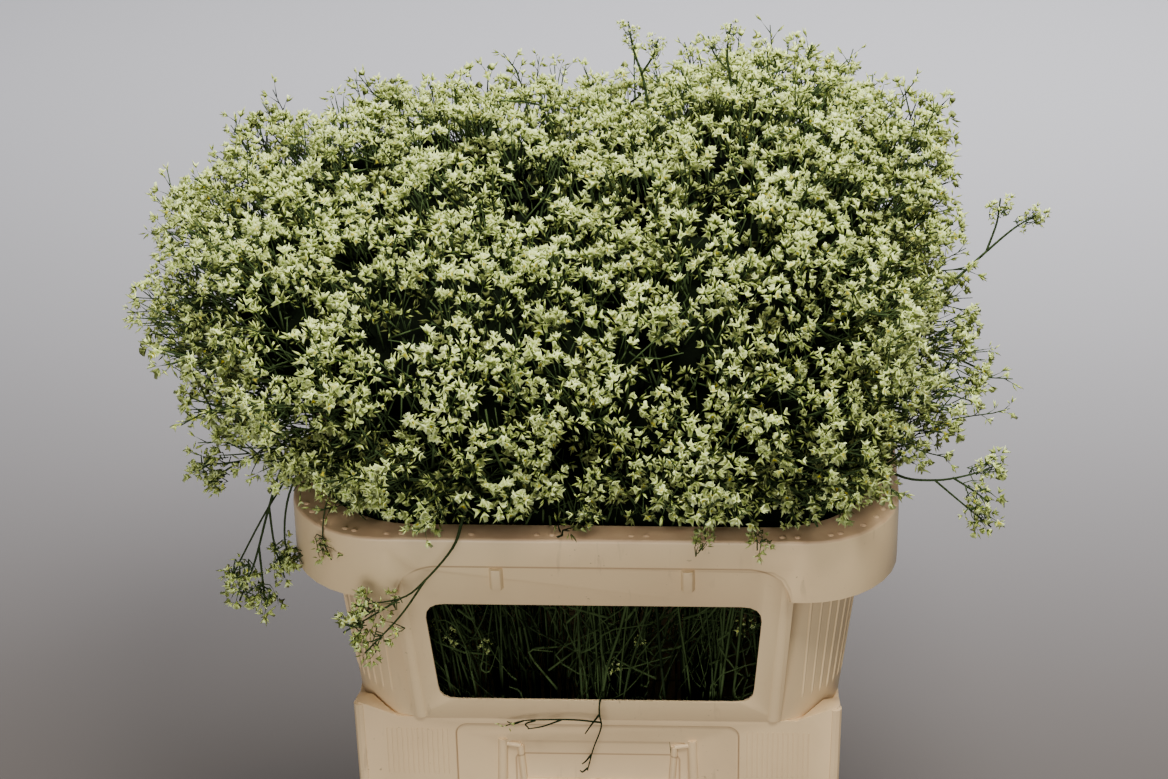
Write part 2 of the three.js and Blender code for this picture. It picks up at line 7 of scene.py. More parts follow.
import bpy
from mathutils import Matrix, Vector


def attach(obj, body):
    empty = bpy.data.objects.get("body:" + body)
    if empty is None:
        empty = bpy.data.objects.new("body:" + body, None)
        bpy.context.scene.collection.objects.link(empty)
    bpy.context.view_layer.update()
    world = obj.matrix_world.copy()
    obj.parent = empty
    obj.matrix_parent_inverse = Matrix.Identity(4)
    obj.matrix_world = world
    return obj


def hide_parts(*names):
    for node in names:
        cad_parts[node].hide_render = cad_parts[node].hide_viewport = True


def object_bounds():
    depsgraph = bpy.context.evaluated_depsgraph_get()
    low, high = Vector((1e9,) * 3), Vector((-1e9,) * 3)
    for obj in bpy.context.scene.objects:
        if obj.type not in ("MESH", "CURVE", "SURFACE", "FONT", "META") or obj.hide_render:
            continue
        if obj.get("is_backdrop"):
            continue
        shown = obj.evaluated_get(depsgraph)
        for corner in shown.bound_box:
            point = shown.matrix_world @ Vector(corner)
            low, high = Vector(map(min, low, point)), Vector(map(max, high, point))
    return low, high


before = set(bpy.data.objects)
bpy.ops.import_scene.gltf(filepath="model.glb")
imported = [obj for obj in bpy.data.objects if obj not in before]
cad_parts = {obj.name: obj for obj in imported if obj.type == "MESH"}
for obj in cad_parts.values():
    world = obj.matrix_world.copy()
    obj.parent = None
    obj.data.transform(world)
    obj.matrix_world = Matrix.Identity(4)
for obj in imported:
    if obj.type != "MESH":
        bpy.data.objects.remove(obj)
SOLIDS_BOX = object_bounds()
print("solids:", len(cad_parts), "box:", [list(corner) for corner in SOLIDS_BOX])

# %%
from math import cos, pi, radians, sin
from typing import NamedTuple

import bmesh
import bpy
import numpy as np
from mathutils import Matrix, Vector
from mathutils.noise import noise as cloud_noise

# %% [markdown]
# ## Camera
# The photograph was taken from above the rim with a long lens, a little to the right of the
# middle. A long lens from far away keeps the upright edges of the collar nearly parallel.
# The place and the angles were fitted to the edges of the collar and the bucket.

# %% Camera
CAMERA_PLACE = Vector((0.1034, -2.1761, 1.7606))
CAMERA_PITCH, CAMERA_TURN, CAMERA_ROLL = radians(29.11), radians(3.08), radians(-1.06)
SENSOR, LENS = 36, 92.47

camera = bpy.data.objects.new("camera", bpy.data.cameras.new("camera"))
camera.data.sensor_fit = "HORIZONTAL"
camera.data.sensor_width = SENSOR
camera.data.lens = LENS
turn = Matrix.Rotation(CAMERA_TURN, 4, "Z") @ Matrix.Rotation(pi / 2 - CAMERA_PITCH, 4, "X")
camera.matrix_world = Matrix.Translation(CAMERA_PLACE) @ turn @ Matrix.Rotation(CAMERA_ROLL, 4, "Z")
bpy.context.scene.collection.objects.link(camera)
bpy.context.scene.camera = camera
print("camera looks along", [round(value, 3) for value in -camera.matrix_world.col[2].xyz])

# %% [markdown]
# ## Light
# The photograph has soft light from above and from the right. The key lamp stands there, a wide
# weak one in front keeps the shade open, one overhead brightens the top, and one behind lights
# the backdrop. The world adds little, so that the depths between the twigs stay dark.


# %% Lights and world
def area_light(name, place, aim, size, power, colour):
    """A square lamp at a place that shines at a point."""
    data = bpy.data.lights.new(name, "AREA")
    data.size = size
    data.energy = power
    data.color = colour
    lamp = bpy.data.objects.new(name, data)
    lamp.location = place
    lamp.rotation_euler = (Vector(aim) - Vector(place)).to_track_quat("-Z", "Y").to_euler()
    bpy.context.scene.collection.objects.link(lamp)


LIT_POINT = (0, 0, 0.5)
area_light("key", (0.45, -1.25, 2.85), LIT_POINT, 0.8, 96, (1, 0.98, 0.95))
area_light("fill", (-0.5, -2.9, 0.9), LIT_POINT, 1.4, 44, (0.98, 0.98, 1))
area_light("top", (0.1, 0.3, 3.0), LIT_POINT, 1.0, 70, (1, 0.99, 0.97))
area_light("back", (0.6, 2.2, 2.3), (0.4, 1.7, 0), 1.2, 84, (0.97, 0.98, 1))
world = bpy.data.worlds.new("studio")
world.use_nodes = True
world.node_tree.nodes["Background"].inputs["Color"].default_value = (0.93, 0.96, 1, 1)
world.node_tree.nodes["Background"].inputs["Strength"].default_value = 0.2
bpy.context.scene.world = world

# %% [markdown]
# ## Materials as expressions
# A material is a network of nodes. Written node by node it is long and hard to read, so one
# small class stands for an output socket, and Python's own operators add the Math nodes.


# %% Shade: an output socket that can be added and multiplied
def paint(red, green, blue):
    """A colour as it looks on a screen, 0 to 255, as the linear values that a shader wants."""
    linear = [((value / 255 + 0.055) / 1.055) ** 2.4 for value in (red, green, blue)]
    return (*linear, 1.0)


class Shade:
    """An output socket of a material, or with no socket the material itself."""

    def __init__(self, tree, socket=None):
        self.tree = tree
        self.socket = socket

    def node(self, kind, settings=None, values=None, output=0):
        """Adds a node: its settings first, then the values or links of its sockets."""
        node = self.tree.nodes.new(kind)
        for name, value in (settings or {}).items():
            if name == "stops":
                set_stops(node.color_ramp, value)
            else:
                setattr(node, name, value)
        for name, value in (values or {}).items():
            if isinstance(value, Shade):
                self.tree.links.new(value.socket, node.inputs[name])
            else:
                node.inputs[name].default_value = value
        return Shade(self.tree, node.outputs[output])

    def math(self, operation, second=0, first=None):
        """A Math node on this socket, or on another first value."""
        values = {0: self if first is None else first, 1: second}
        return self.node("ShaderNodeMath", {"operation": operation}, values)

    def axes(self):
        """The three parts of a vector."""
        return [self.node("ShaderNodeSeparateXYZ", {}, {"Vector": self}, i) for i in range(3)]

    def mix(self, factor, first, second):
        """Between two colours, by a factor from 0 to 1."""
        values = {0: factor, 6: first, 7: second}
        return self.node("ShaderNodeMix", {"data_type": "RGBA"}, values, output=2)

    def band(self, low, high):
        """0 below low, 1 above high and smooth between them. low may be the higher one."""
        values = {"Value": self, "From Min": low, "From Max": high}
        return self.node("ShaderNodeMapRange", {"interpolation_type": "SMOOTHSTEP"}, values)

    def __add__(self, other):
        return self.math("ADD", other)

    def __sub__(self, other):
        return self.math("SUBTRACT", other)

    def __rsub__(self, other):
        return self.math("SUBTRACT", self, first=other)

    def __mul__(self, other):
        return self.math("MULTIPLY", other)

    __radd__ = __add__
    __rmul__ = __mul__


def set_stops(ramp, stops):
    """Gives a colour ramp its stops, as {place: colour}."""
    while len(ramp.elements) < len(stops):
        ramp.elements.new(0.5)
    for element, (place, colour) in zip(ramp.elements, stops.items()):
        element.position = place
        element.color = colour


def new_material(name):
    """A material, its sheet for nodes, the object's coordinates, and a call for its surface."""
    material = bpy.data.materials.new(name)
    material.use_nodes = True
    tree = material.node_tree
    shader = tree.nodes["Principled BSDF"]

    def surface(**values):
        for name, value in values.items():
            socket = shader.inputs[name.replace("_", " ")]
            if isinstance(value, Shade):
                tree.links.new(value.socket, socket)
            else:
                socket.default_value = value

    sheet = Shade(tree)
    return material, sheet, sheet.node("ShaderNodeTexCoord", output=3), surface


def noise(place, scale, detail, stretch=(1, 1, 1)):
    """Soft noise from 0 to 1, drawn out along the axes where stretch is small."""
    mapping = place.node("ShaderNodeMapping", {}, {"Vector": place, "Scale": stretch})
    values = {"Vector": mapping, "Scale": scale, "Detail": detail}
    return place.node("ShaderNodeTexNoise", {}, values)


# %% [markdown]
# ## Floor and backdrop
# A pale studio sheet with painted shade: one strip of floor that turns up into a wall behind
# the bucket, painted darker towards the front. An edge that is extruded step by step along a
# quarter circle makes the turn smooth.

# %% Studio sheet
FLOOR_HALF_WIDTH, FLOOR_FRONT, WALL_FOOT, WALL_HEIGHT, WALL_TURN = 6.5, -6.5, 5.5, 3.4, 0.6
TURN_STEPS = 16
FLOOR_LEVEL = -0.0005
SHADE_FADE_FROM, SHADE_FADE_TO = 0.05, 2.2

bm = bmesh.new()
ends = [bm.verts.new((side * FLOOR_HALF_WIDTH, FLOOR_FRONT, FLOOR_LEVEL)) for side in (-1, 1)]
edge = bm.edges.new(ends)
route = [(WALL_FOOT, 0.0)]
for step in range(1, TURN_STEPS + 1):
    angle = pi / 2 * step / TURN_STEPS
    route.append((WALL_FOOT + WALL_TURN * sin(angle), WALL_TURN * (1 - cos(angle))))
route.append((WALL_FOOT + WALL_TURN, WALL_HEIGHT))
for y, z in route:
    made = bmesh.ops.extrude_edge_only(bm, edges=[edge])["geom"]
    for vert in (item for item in made if isinstance(item, bmesh.types.BMVert)):
        vert.co.y, vert.co.z = y, z + FLOOR_LEVEL
    edge = next(item for item in made if isinstance(item, bmesh.types.BMEdge))
bmesh.ops.recalc_face_normals(bm, faces=bm.faces)
sheet_mesh = bpy.data.meshes.new("studio_sheet")
bm.to_mesh(sheet_mesh)
bm.free()
sheet_mesh.shade_smooth()
studio = bpy.data.objects.new("studio_sheet", sheet_mesh)
bpy.context.scene.collection.objects.link(studio)
studio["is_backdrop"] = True

backdrop, sheet, place, surface = new_material("studio_sheet_painted_shade")
along, deep, _ = place.axes()
# painted shade: the sheet is darker towards the front and a little to the left, standing in for the
# fall of the lamps' light. The noise is the sheet's own uneven tone.
painted_falloff = (deep + along * 0.06 + noise(place, 0.9, 2) * 0.1).band(SHADE_FADE_FROM, SHADE_FADE_TO)
surface(Base_Color=sheet.mix(painted_falloff, paint(76, 70, 66), paint(181, 180, 185)), Roughness=0.9)
sheet_mesh.materials.append(backdrop)
print("studio sheet:", len(sheet_mesh.polygons), "faces")

# %% [markdown]
# ## Small templates
# A crown holds thousands of florets, buds and twigs. Each kind is modelled once, with a
# handful of faces, and copied by the thousand with numpy, which is far quicker than a loop
# over bmesh. A template keeps its corners, its triangles and three paint values a corner:
# how far it is from twig (0) over bud (0.5) to petal (1), how near it is to the yellow eye,
# and a tone that varies from copy to copy.


# %% Templates and copies of them
class Template(NamedTuple):
    """Corners, triangles and paint values of a small closed shape, or of many together."""

    corners: np.ndarray
    triangles: np.ndarray
    paints: np.ndarray

    def copies(self, places, tones=0):
        """The shape at each place, where places is a stack of 4 x 4 matrices."""
        turned = np.einsum("nij,cj->nci", places[:, :3, :3], self.corners)
        corners = (turned + places[:, None, :3, 3]).reshape(-1, 3)
        steps = np.arange(len(places))[:, None, None] * len(self.corners)
        paints = np.repeat(self.paints[None], len(places), axis=0)
        paints[:, :, 2] += np.reshape(tones, (-1, 1))
        return Template(corners, (self.triangles + steps).reshape(-1, 3), paints.reshape(-1, 3))


def together(templates):
    """Several templates as one."""
    corners, triangles, paints = zip(*templates)
    offsets = np.cumsum([0] + [len(part) for part in corners[:-1]])
    triangles = [part + offset for part, offset in zip(triangles, offsets)]
    return Template(*[np.concatenate(parts) for parts in (corners, triangles, paints)])


def from_bmesh(bm, paint_of):
    """Reads a bmesh into a template. paint_of gives (petal, eye) for a corner's place."""
    bmesh.ops.triangulate(bm, faces=bm.faces)
    bmesh.ops.recalc_face_normals(bm, faces=bm.faces)
    bm.verts.index_update()
    corners = np.array([vert.co for vert in bm.verts])
    triangles = np.array([[vert.index for vert in face.verts] for face in bm.faces])
    paints = np.array([(*paint_of(vert.co), 0.0) for vert in bm.verts])
    bm.free()
    return Template(corners, triangles, paints)


def unit(vectors):
    return vectors / np.linalg.norm(vectors, axis=-1, keepdims=True)


def poses(roots, aims, spins, sizes):
    """4 x 4 matrices that put a template's origin on a root and its +Z along an aim."""
    roots, aims = np.atleast_2d(roots), unit(np.atleast_2d(aims))
    turn_cos, turn_sin = [np.reshape(wave(spins), (-1, 1)) for wave in (np.cos, np.sin)]
    across = np.where(abs(aims[:, 2:]) < 0.9, (0.0, 0.0, 1.0), (1.0, 0.0, 0.0))
    side = unit(np.cross(across, aims))
    front = np.cross(aims, side)
    axes = (side * turn_cos + front * turn_sin, front * turn_cos - side * turn_sin, aims)
    result = np.zeros((len(roots), 4, 4))
    result[:, :3, :3] = np.stack(axes, axis=2) * np.reshape(sizes, (len(roots), 1, -1))
    result[:, :3, 3] = roots
    result[:, 3, 3] = 1
    return result


# %% [markdown]
# ### Floret, bud and twig
# A statice floret is a small papery trumpet with five ruffled lobes. A cone that stands on its
# point gives the trumpet. Every second corner of its edge is drawn in, which parts one lobe from
# the next, and the middle of its face is pushed down. A bud is a slim spindle, and a twig is a
# rod one unit long with three or more sides.

# %% Floret, bud and twig
FLORET_RADIUS, FLORET_DEPTH, PETALS = 0.0037, 0.0045, 5
VALLEY_REACH = 0.45
TWIG_PAINT, THROAT_SHADE_PAINT, VALLEY_PAINT = 0.12, 0.20, 0.80


def closed_cone(segments, foot_radius, top_radius, depth, fan=True):
    """A cone or rod along +Z from the origin. A fan gives its flat ends a corner in the middle."""
    bm = bmesh.new()
    bmesh.ops.create_cone(bm, cap_ends=True, cap_tris=fan, segments=segments, depth=depth,
                          radius1=foot_radius, radius2=top_radius)
    bmesh.ops.remove_doubles(bm, verts=bm.verts, dist=1e-6)
    bmesh.ops.translate(bm, verts=bm.verts, vec=(0, 0, depth / 2))
    return bm


def floret_template(tip_rise, valley_rise, throat, eye=0):
    """A floret on its point, with its face up. The rises, in radii, bend its edge."""
    bm = closed_cone(2 * PETALS, 0, FLORET_RADIUS, FLORET_DEPTH)
    for vert in bm.verts:
        turn = np.arctan2(vert.co.y, vert.co.x) / (2 * pi)
        if vert.co.xy.length > FLORET_RADIUS / 2:
            valley = round(turn * 2 * PETALS) % 2 == 0
            vert.co.xy *= VALLEY_REACH if valley else 1
            vert.co.z += (valley_rise if valley else tip_rise) * FLORET_RADIUS
        elif vert.co.z > FLORET_DEPTH / 2:
            vert.co.z -= throat * FLORET_RADIUS

    def floret_paint(co):
        """Green at the point, petals at the edge, and in the middle a throat painted darker as
        painted shade, which the eye turns yellow where a floret has one.
        """
        middle = co.xy.length < FLORET_RADIUS / 10
        if middle and co.z < FLORET_DEPTH / 8:
            return 0.3, 0
        edge = VALLEY_PAINT if co.xy.length < FLORET_RADIUS * 0.8 else 1
        return (THROAT_SHADE_PAINT if middle else edge), (eye if middle else 0)

    return from_bmesh(bm, floret_paint)


def bud_template():
    """A slim spindle 1 long and about 1/4 wide."""
    bm = closed_cone(3, 0.115, 0, 0.55)
    for vert in bm.verts:
        vert.co.z = 0 if vert.co.xy.length < 0.01 and vert.co.z < 0.3 else vert.co.z + 0.45
    return from_bmesh(bm, lambda co: (0.25 + 0.65 * co.z, 0))


def twig_template(sides, top_radius):
    """A rod or spike 1 long, with a foot of radius 1."""
    return from_bmesh(closed_cone(sides, 1, top_radius, 1, fan=False), lambda co: (TWIG_PAINT, 0))


FLORETS = [
    floret_template(0.10, -0.25, 0.70),
    floret_template(0.45, -0.05, 0.90),
    floret_template(-0.25, 0.15, 0.50),
    floret_template(0.25, -0.20, 0.80),
    floret_template(0.30, -0.10, 0.40, eye=1),
]
BUD = bud_template()
TWIG, TIP = twig_template(3, 0.8), twig_template(3, 0)
STEM, ROUND_TWIG = twig_template(4, 0.97), twig_template(6, 0.96)
print("triangles of a floret, a bud, a twig:", [len(t.triangles) for t in (FLORETS[0], BUD, TWIG)])


# %% Rods along a line of points
def rods(template, points, radii, tone=0.0):
    """Twig templates from each point to the next, a little longer so that they run together."""
    points = np.asarray(points, float)
    steps = np.diff(points, axis=0)
    radii = np.broadcast_to(radii, len(steps))
    sizes = np.stack((radii, radii, np.linalg.norm(steps, axis=1) + radii), axis=1)
    return template.copies(poses(points[:-1], steps, 0, sizes), tone)


def smooth_line(points, steps):
    """More points between the given ones, on a smooth curve through them."""
    points = np.asarray(points, float)
    padded = np.vstack((2 * points[0] - points[1], points, 2 * points[-1] - points[-2]))
    line = []
    for before, start, end, after in zip(padded, padded[1:], padded[2:], padded[3:]):
        bend = 2 * before - 5 * start + 4 * end - after
        rest = 3 * start - before - 3 * end + after
        for share in np.arange(steps) / steps:
            line.append(start + ((end - before) * share + bend * share**2 + rest * share**3) / 2)
    return np.array([*line, points[-1]])


# %% [markdown]
# ### Clusters and sprigs
# Statice carries its florets crowded at the ends of forked twigs. A cluster is made of the
# templates above: a main twig, a few branchlets that rise from its fork, and round the end of
# each branchlet a small dome of florets with buds between them. A sprig is a taller twig with
# side twigs all the way up, mostly in bud, and stands out of the mass. Several of each, some in
# full flower and some still green, are enough for a crown that shows no repeats.

# %% Clusters
TWIG_LENGTH, FORK_DEPTH = 0.080, 0.030
MAIN_RADII, BRANCHLET_RADIUS, TIP_RADIUS = (0.0010, 0.0008), 0.0007, 0.0006
SPRIG_RADII, SPRIG_TURN, SPRIG_HEIGHT, SIDE_TWIGS = (0.0009, 0.0007, 0.0006), 2.4, 0.036, 6
DOME_RADIUS, DOME_DEPTH = 0.0028, 0.0055
FLORET_SIZES, BUD_LENGTHS = (0.8, 1.15), (0.0060, 0.0090)


def one_of(random, kinds):
    return kinds[int(random.integers(len(kinds)))]


def flower(random, root, aim, is_floret):
    """One floret or bud, from a root along an aim."""
    spin, tone = random.uniform(0, 2 * pi), random.normal(0, 0.30)
    kind, size = BUD, random.uniform(*BUD_LENGTHS)
    if is_floret:
        kind, size = one_of(random, FLORETS), random.uniform(*FLORET_SIZES)
    return kind.copies(poses(root, aim, spin, size), tone)


def cluster_template(random, branchlets, florets, buds, spread, stalk=TWIG_LENGTH, fork=FORK_DEPTH):
    """A cluster with its florets round the origin and its twig down along -Z."""
    fork = np.array((0, 0, -fork))
    bend = random.normal(0, 0.004, 3) * (1, 1, 0) + fork * 0.6 + (0, 0, -stalk * 0.4)
    parts = [rods(TWIG, [(0, 0, -stalk), bend, fork], MAIN_RADII)]
    placed = np.array_split(random.permutation([True] * florets + [False] * buds), branchlets)
    for index, row in enumerate(placed):
        angle = 2 * pi * (index + random.uniform(-0.35, 0.35)) / branchlets
        out = np.array((cos(angle), sin(angle), 0.0))
        reach = spread * random.uniform(0.5, 1)
        start = fork + (0, 0, random.uniform(-0.012, 0.008))
        drop = random.uniform(-0.008, 0.002)
        knee = out * reach * 0.7 + (0, 0, drop - 0.012)
        tip = out * reach + (0, 0, drop - DOME_DEPTH)
        parts.append(rods(TWIG, [start, knee], BRANCHLET_RADIUS))
        parts.append(rods(TIP, [knee, tip + (0, 0, DOME_DEPTH / 2)], TIP_RADIUS))
        for is_floret in row:
            away = unit(random.normal(0, 1, 3) * (1, 1, 0.6) + out * 0.35 + (0, 0, 0.75))
            root = tip + away * DOME_RADIUS * random.uniform(0.3, 1)
            parts.append(flower(random, root, away + random.normal(0, 0.15, 3), is_floret))
    return together(parts)


def sprig_template(random, florets, buds):
    """A tall twig with side twigs all the way up. Its end is at the origin."""
    line = np.zeros((4, 3))
    line[:3, 2] = -TWIG_LENGTH, -SPRIG_HEIGHT, -SPRIG_HEIGHT / 2
    line += random.normal(0, 0.0025, (4, 3)) * (1, 1, 0)
    parts = [rods(TWIG, line, SPRIG_RADII)]
    placed = np.array_split(random.permutation([True] * florets + [False] * buds), SIDE_TWIGS)
    for index, row in enumerate(placed):
        angle = index * SPRIG_TURN + random.uniform(-0.5, 0.5)
        share = 1 + 2 * index / SIDE_TWIGS
        below = int(share)
        foot = line[below] + (line[below + 1] - line[below]) * (share - below)
        out = np.array((cos(angle), sin(angle), 0.0))
        tip = foot + (out * 0.75 + (0, 0, 1)) * random.uniform(0.006, 0.013)
        parts.append(rods(TIP, [foot, tip], TIP_RADIUS))
        for is_floret in row:
            root = foot + (tip - foot) * random.uniform(0.6, 1)
            aim = unit(tip - foot) + out * 0.2 + random.normal(0, 0.35, 3)
            parts.append(flower(random, root, aim, is_floret))
    return together(parts)


CLUSTER_SEED = 7
cluster_random = np.random.default_rng(CLUSTER_SEED)
FULL_CLUSTERS = [cluster_template(cluster_random, 3, 16, 11, 0.0110) for _ in range(8)]
HALF_CLUSTERS = [cluster_template(cluster_random, 3, 8, 13, 0.0110) for _ in range(6)]
BUD_CLUSTERS = [cluster_template(cluster_random, 3, 1, 16, 0.0100) for _ in range(4)]
SPRIGS = [sprig_template(cluster_random, 5, 15) for _ in range(6)]
SPRAY_FORM = (4, 10, 12, 0.011, 0.016, 0.013)
SPRAY_CLUSTERS = [cluster_template(cluster_random, *SPRAY_FORM) for _ in range(5)]
GROUPS = (FULL_CLUSTERS, HALF_CLUSTERS, BUD_CLUSTERS, SPRIGS)
print("triangles of the clusters and sprigs:", [len(group[0].triangles) for group in GROUPS])

# %% [markdown]
# ## Crown
# The crown is the same rounded form as in the solids: a flattened, slightly square dome that
# is a little higher on the right. Points are thrown at its surface by area, and a point that
# lands too near another is dropped, which spaces the clusters evenly but not in rows.

# %% The form of the crown
CROWN_MIDDLE = np.array((-0.010, 0, 0.640))
CROWN_HALF_LENGTH, CROWN_HALF_WIDTH = 0.354, 0.295
CROWN_RISE, CROWN_DROP, CROWN_LEAN = 0.150, 0.142, 0.14
PLAN_POWER, TOP_POWER, UNDER_POWER = 2.5, 2.4, 2.2


def crown_radius(directions):
    """How far the crown reaches from its middle, in some unit directions."""
    x, y, z = np.moveaxis(directions, -1, 0)
    plan = abs(x / CROWN_HALF_LENGTH) ** PLAN_POWER + abs(y / CROWN_HALF_WIDTH) ** PLAN_POWER
    height = np.where(z > 0, CROWN_RISE * (1 + CROWN_LEAN * x), CROWN_DROP)
    power = np.where(z > 0, TOP_POWER, UNDER_POWER)
    whole = plan ** (power / PLAN_POWER) + abs(z / height) ** power
    return whole ** (-1 / power)


# %% [markdown]
# Twenty bunches never make an even dome. The crown of the photograph swells at its upper right
# and upper left, sinks between them and has a hollow on its right side. Each swelling is a soft
# hill on the surface, and shallow waves all over part one bunch from the next.

# %% Swellings and hollows
# (x, z, how wide along x, how wide along z, how far out)
HILLS = (
    (-0.290, 0.735, 0.070, 0.050, 0.020),
    (-0.045, 0.800, 0.075, 0.060, -0.034),
    (0.155, 0.800, 0.055, 0.060, 0.032),
    (0.352, 0.674, 0.062, 0.058, -0.116),
    (0.345, 0.590, 0.050, 0.040, 0.022),
    (0.262, 0.785, 0.040, 0.040, 0.030),
    (-0.175, 0.800, 0.035, 0.040, -0.016),
    (0.080, 0.830, 0.025, 0.040, 0.012),
    (-0.360, 0.680, 0.050, 0.050, 0.010),
)
SPRIG_REACH = 0.006
WAVE_HEIGHT = 0.006


def relief(points):
    """How far the crown stands out, in metres, at some points of its even form."""
    x, y, z = np.moveaxis(points, -1, 0)
    waves = np.sin(47 * x + 1) * np.sin(53 * y + 2) + np.sin(36 * (x + y + z))
    height = WAVE_HEIGHT * waves - SPRIG_REACH
    for hill_x, hill_z, wide_x, wide_z, out in HILLS:
        off = ((x - hill_x) / wide_x) ** 2 + ((z - hill_z) / wide_z) ** 2
        height = height + out * np.exp(-off)
    return height


def crown_reach(directions):
    """How far the crown reaches with its swellings and hollows."""
    reach = crown_radius(directions)
    return reach + relief(CROWN_MIDDLE + directions * reach[:, None])


def crown_mesh(fineness, inset):
    """An icosphere whose corners are moved onto the crown, or inset below it."""
    bm = bmesh.new()
    bmesh.ops.create_icosphere(bm, subdivisions=fineness, radius=1)
    directions = unit(np.array([vert.co for vert in bm.verts]))
    points = CROWN_MIDDLE + directions * (crown_reach(directions) - inset)[:, None]
    for vert, point in zip(bm.verts, points):
        vert.co = point
    bm.normal_update()
    return bm


bm = crown_mesh(6, 0)
CROWN_POINTS = np.array([face.calc_center_median() for face in bm.faces])
CROWN_NORMALS = np.array([face.normal for face in bm.faces])
CROWN_AREAS = np.array([face.calc_area() for face in bm.faces])
bm.free()
print("crown area in square metres:", round(CROWN_AREAS.sum(), 3))

# %% [markdown]
# Each bunch owns the part of the crown that it leans to. The middle bunch stands upright, and
# two rings of bunches lean out round it, all as if they spread from one point in the bucket.

# %% Which bunch a point belongs to
FAN_POINT = np.array((0, 0, 0.250))
# (bunches, how far out their crowns are, how far out their feet are)
RINGS = ((1, 0, 0), (7, 0.4, 0.48), (12, 0.72, 0.98))
FOOT_HALF_LENGTH, FOOT_HALF_WIDTH = 0.160, 0.112


def place_in_plan(angle, half_length, half_width, reach):
    """A point on the rounded rectangle of the crown's plan, or nearer to its middle."""
    along = np.sign(cos(angle)) * abs(cos(angle)) ** (2 / PLAN_POWER)
    across = np.sign(sin(angle)) * abs(sin(angle)) ** (2 / PLAN_POWER)
    return np.array((along * half_length * reach, across * half_width * reach, 0.0))


BUNCH_FEET, BUNCH_LEANS = [], []
for ring, (bunches, crown_share, foot_share) in enumerate(RINGS):
    for index in range(bunches):
        angle = (index + ring / 2) * 2 * pi / bunches
        BUNCH_FEET.append(place_in_plan(angle, FOOT_HALF_LENGTH, FOOT_HALF_WIDTH, foot_share))
        middle = place_in_plan(angle, CROWN_HALF_LENGTH, CROWN_HALF_WIDTH, crown_share)
        direction = unit(middle + (0, 0, CROWN_RISE * (1 - crown_share)))
        crown_point = CROWN_MIDDLE + direction * crown_radius(direction)
        BUNCH_LEANS.append(unit(crown_point - FAN_POINT))
BUNCH_LEANS = np.array(BUNCH_LEANS)
BUNCHES = len(BUNCH_LEANS)


def bunch_of(points):
    """The number of the bunch that each point belongs to."""
    return np.argmax((points - FAN_POINT) @ BUNCH_LEANS.T, axis=1)


print("bunches:", BUNCHES)

# %% Points on the crown
CROWN_SEED = 21
crown_random = np.random.default_rng(CROWN_SEED)
RIM_TOP = 0.520
RIM_ARC_X, RIM_ARC_Y, RIM_ARC_RADIUS, LEDGE_WIDTH = 0.167, 0.117, 0.076, 0.018
CROWN_UNDERSIDE = 0.528


def thrown_points(throws, spacing, keep):
    """Crown points and normals with a spacing. keep gives the chance that a point stays."""
    chances = CROWN_AREAS / CROWN_AREAS.sum()
    chosen = crown_random.choice(len(CROWN_POINTS), throws, p=chances)
    kept = []
    for index in chosen:
        point = CROWN_POINTS[index]
        if point[2] < CROWN_UNDERSIDE or crown_random.random() > keep(point):
            continue
        if kept and (np.linalg.norm(CROWN_POINTS[kept] - point, axis=1) < spacing).any():
            continue
        kept.append(index)
    return CROWN_POINTS[kept], CROWN_NORMALS[kept]


PATCH_SIZE = 0.045
SIGHT_SLOPE, LEDGE_MARGIN, LEDGE_HALF_LENGTH = 0.557, 0.016, 0.222
# (x, how wide, how far down) of the places where florets hang over the front of the rim
OVERHANGS = (
    (-0.200, 0.022, 0.034),
    (-0.125, 0.012, 0.022),
    (0.000, 0.006, 0.010),
    (0.115, 0.036, 0.026),
    (0.235, 0.028, 0.024),
)


def overhang(x):
    """How far down florets may hang over the rim at a place along it."""
    return sum(down * np.exp(-(((x - at) / wide) ** 2)) for at, wide, down in OVERHANGS)


def hides_ledge(point):
    """Whether florets at a point would cover the front ledge of the rim from the camera."""
    x, y, z = point
    if abs(x) > LEDGE_HALF_LENGTH:
        return False
    across = max(abs(x) - RIM_ARC_X, 0)
    edge = -RIM_ARC_Y - ((RIM_ARC_RADIUS - LEDGE_WIDTH) ** 2 - across**2) ** 0.5
    return z < RIM_TOP + SIGHT_SLOPE * (edge - y) + LEDGE_MARGIN - overhang(x)


def even(point):
    """Clusters stand everywhere but over the ledge, and more open near the rim."""
    low = 0.01 + (point[2] - CROWN_UNDERSIDE) / 0.32 + 12 * overhang(point[0])
    return 0 if hides_ledge(point) else min(1.0, low)


def patchy(point):
    """Clusters stand in patches, and more open near the rim and on the right."""
    patch = cloud_noise(Vector(point) / PATCH_SIZE) * 2.2 + 0.68
    right = 1.0 - max(0.0, point[0] - 0.24) * 5
    return min(1.0, patch) * right * even(point)


# %% Clusters on the crown
TONE_SIZE = 0.075
FOOT_COVER, LOWEST_FOOT = 0.012, 0.538
MOUTH_MARGIN, MOUTH_SHADE = 0.004, 0.600
LOW_BELOW, LOW_RANGE = 0.650, 0.070


def out_of_sight(points):
    """Which points lie well inside the crown or in the mouth of the collar."""
    away = points - CROWN_MIDDLE
    deep = np.linalg.norm(away, axis=1) < crown_reach(unit(away)) - FOOT_COVER
    beyond = np.maximum(abs(points[:, :2]) - (RIM_ARC_X, RIM_ARC_Y), 0)
    in_mouth = np.linalg.norm(beyond, axis=1) < RIM_ARC_RADIUS - LEDGE_WIDTH - MOUTH_MARGIN
    return (deep & (points[:, 2] > LOWEST_FOOT)) | (in_mouth & (points[:, 2] < MOUTH_SHADE))


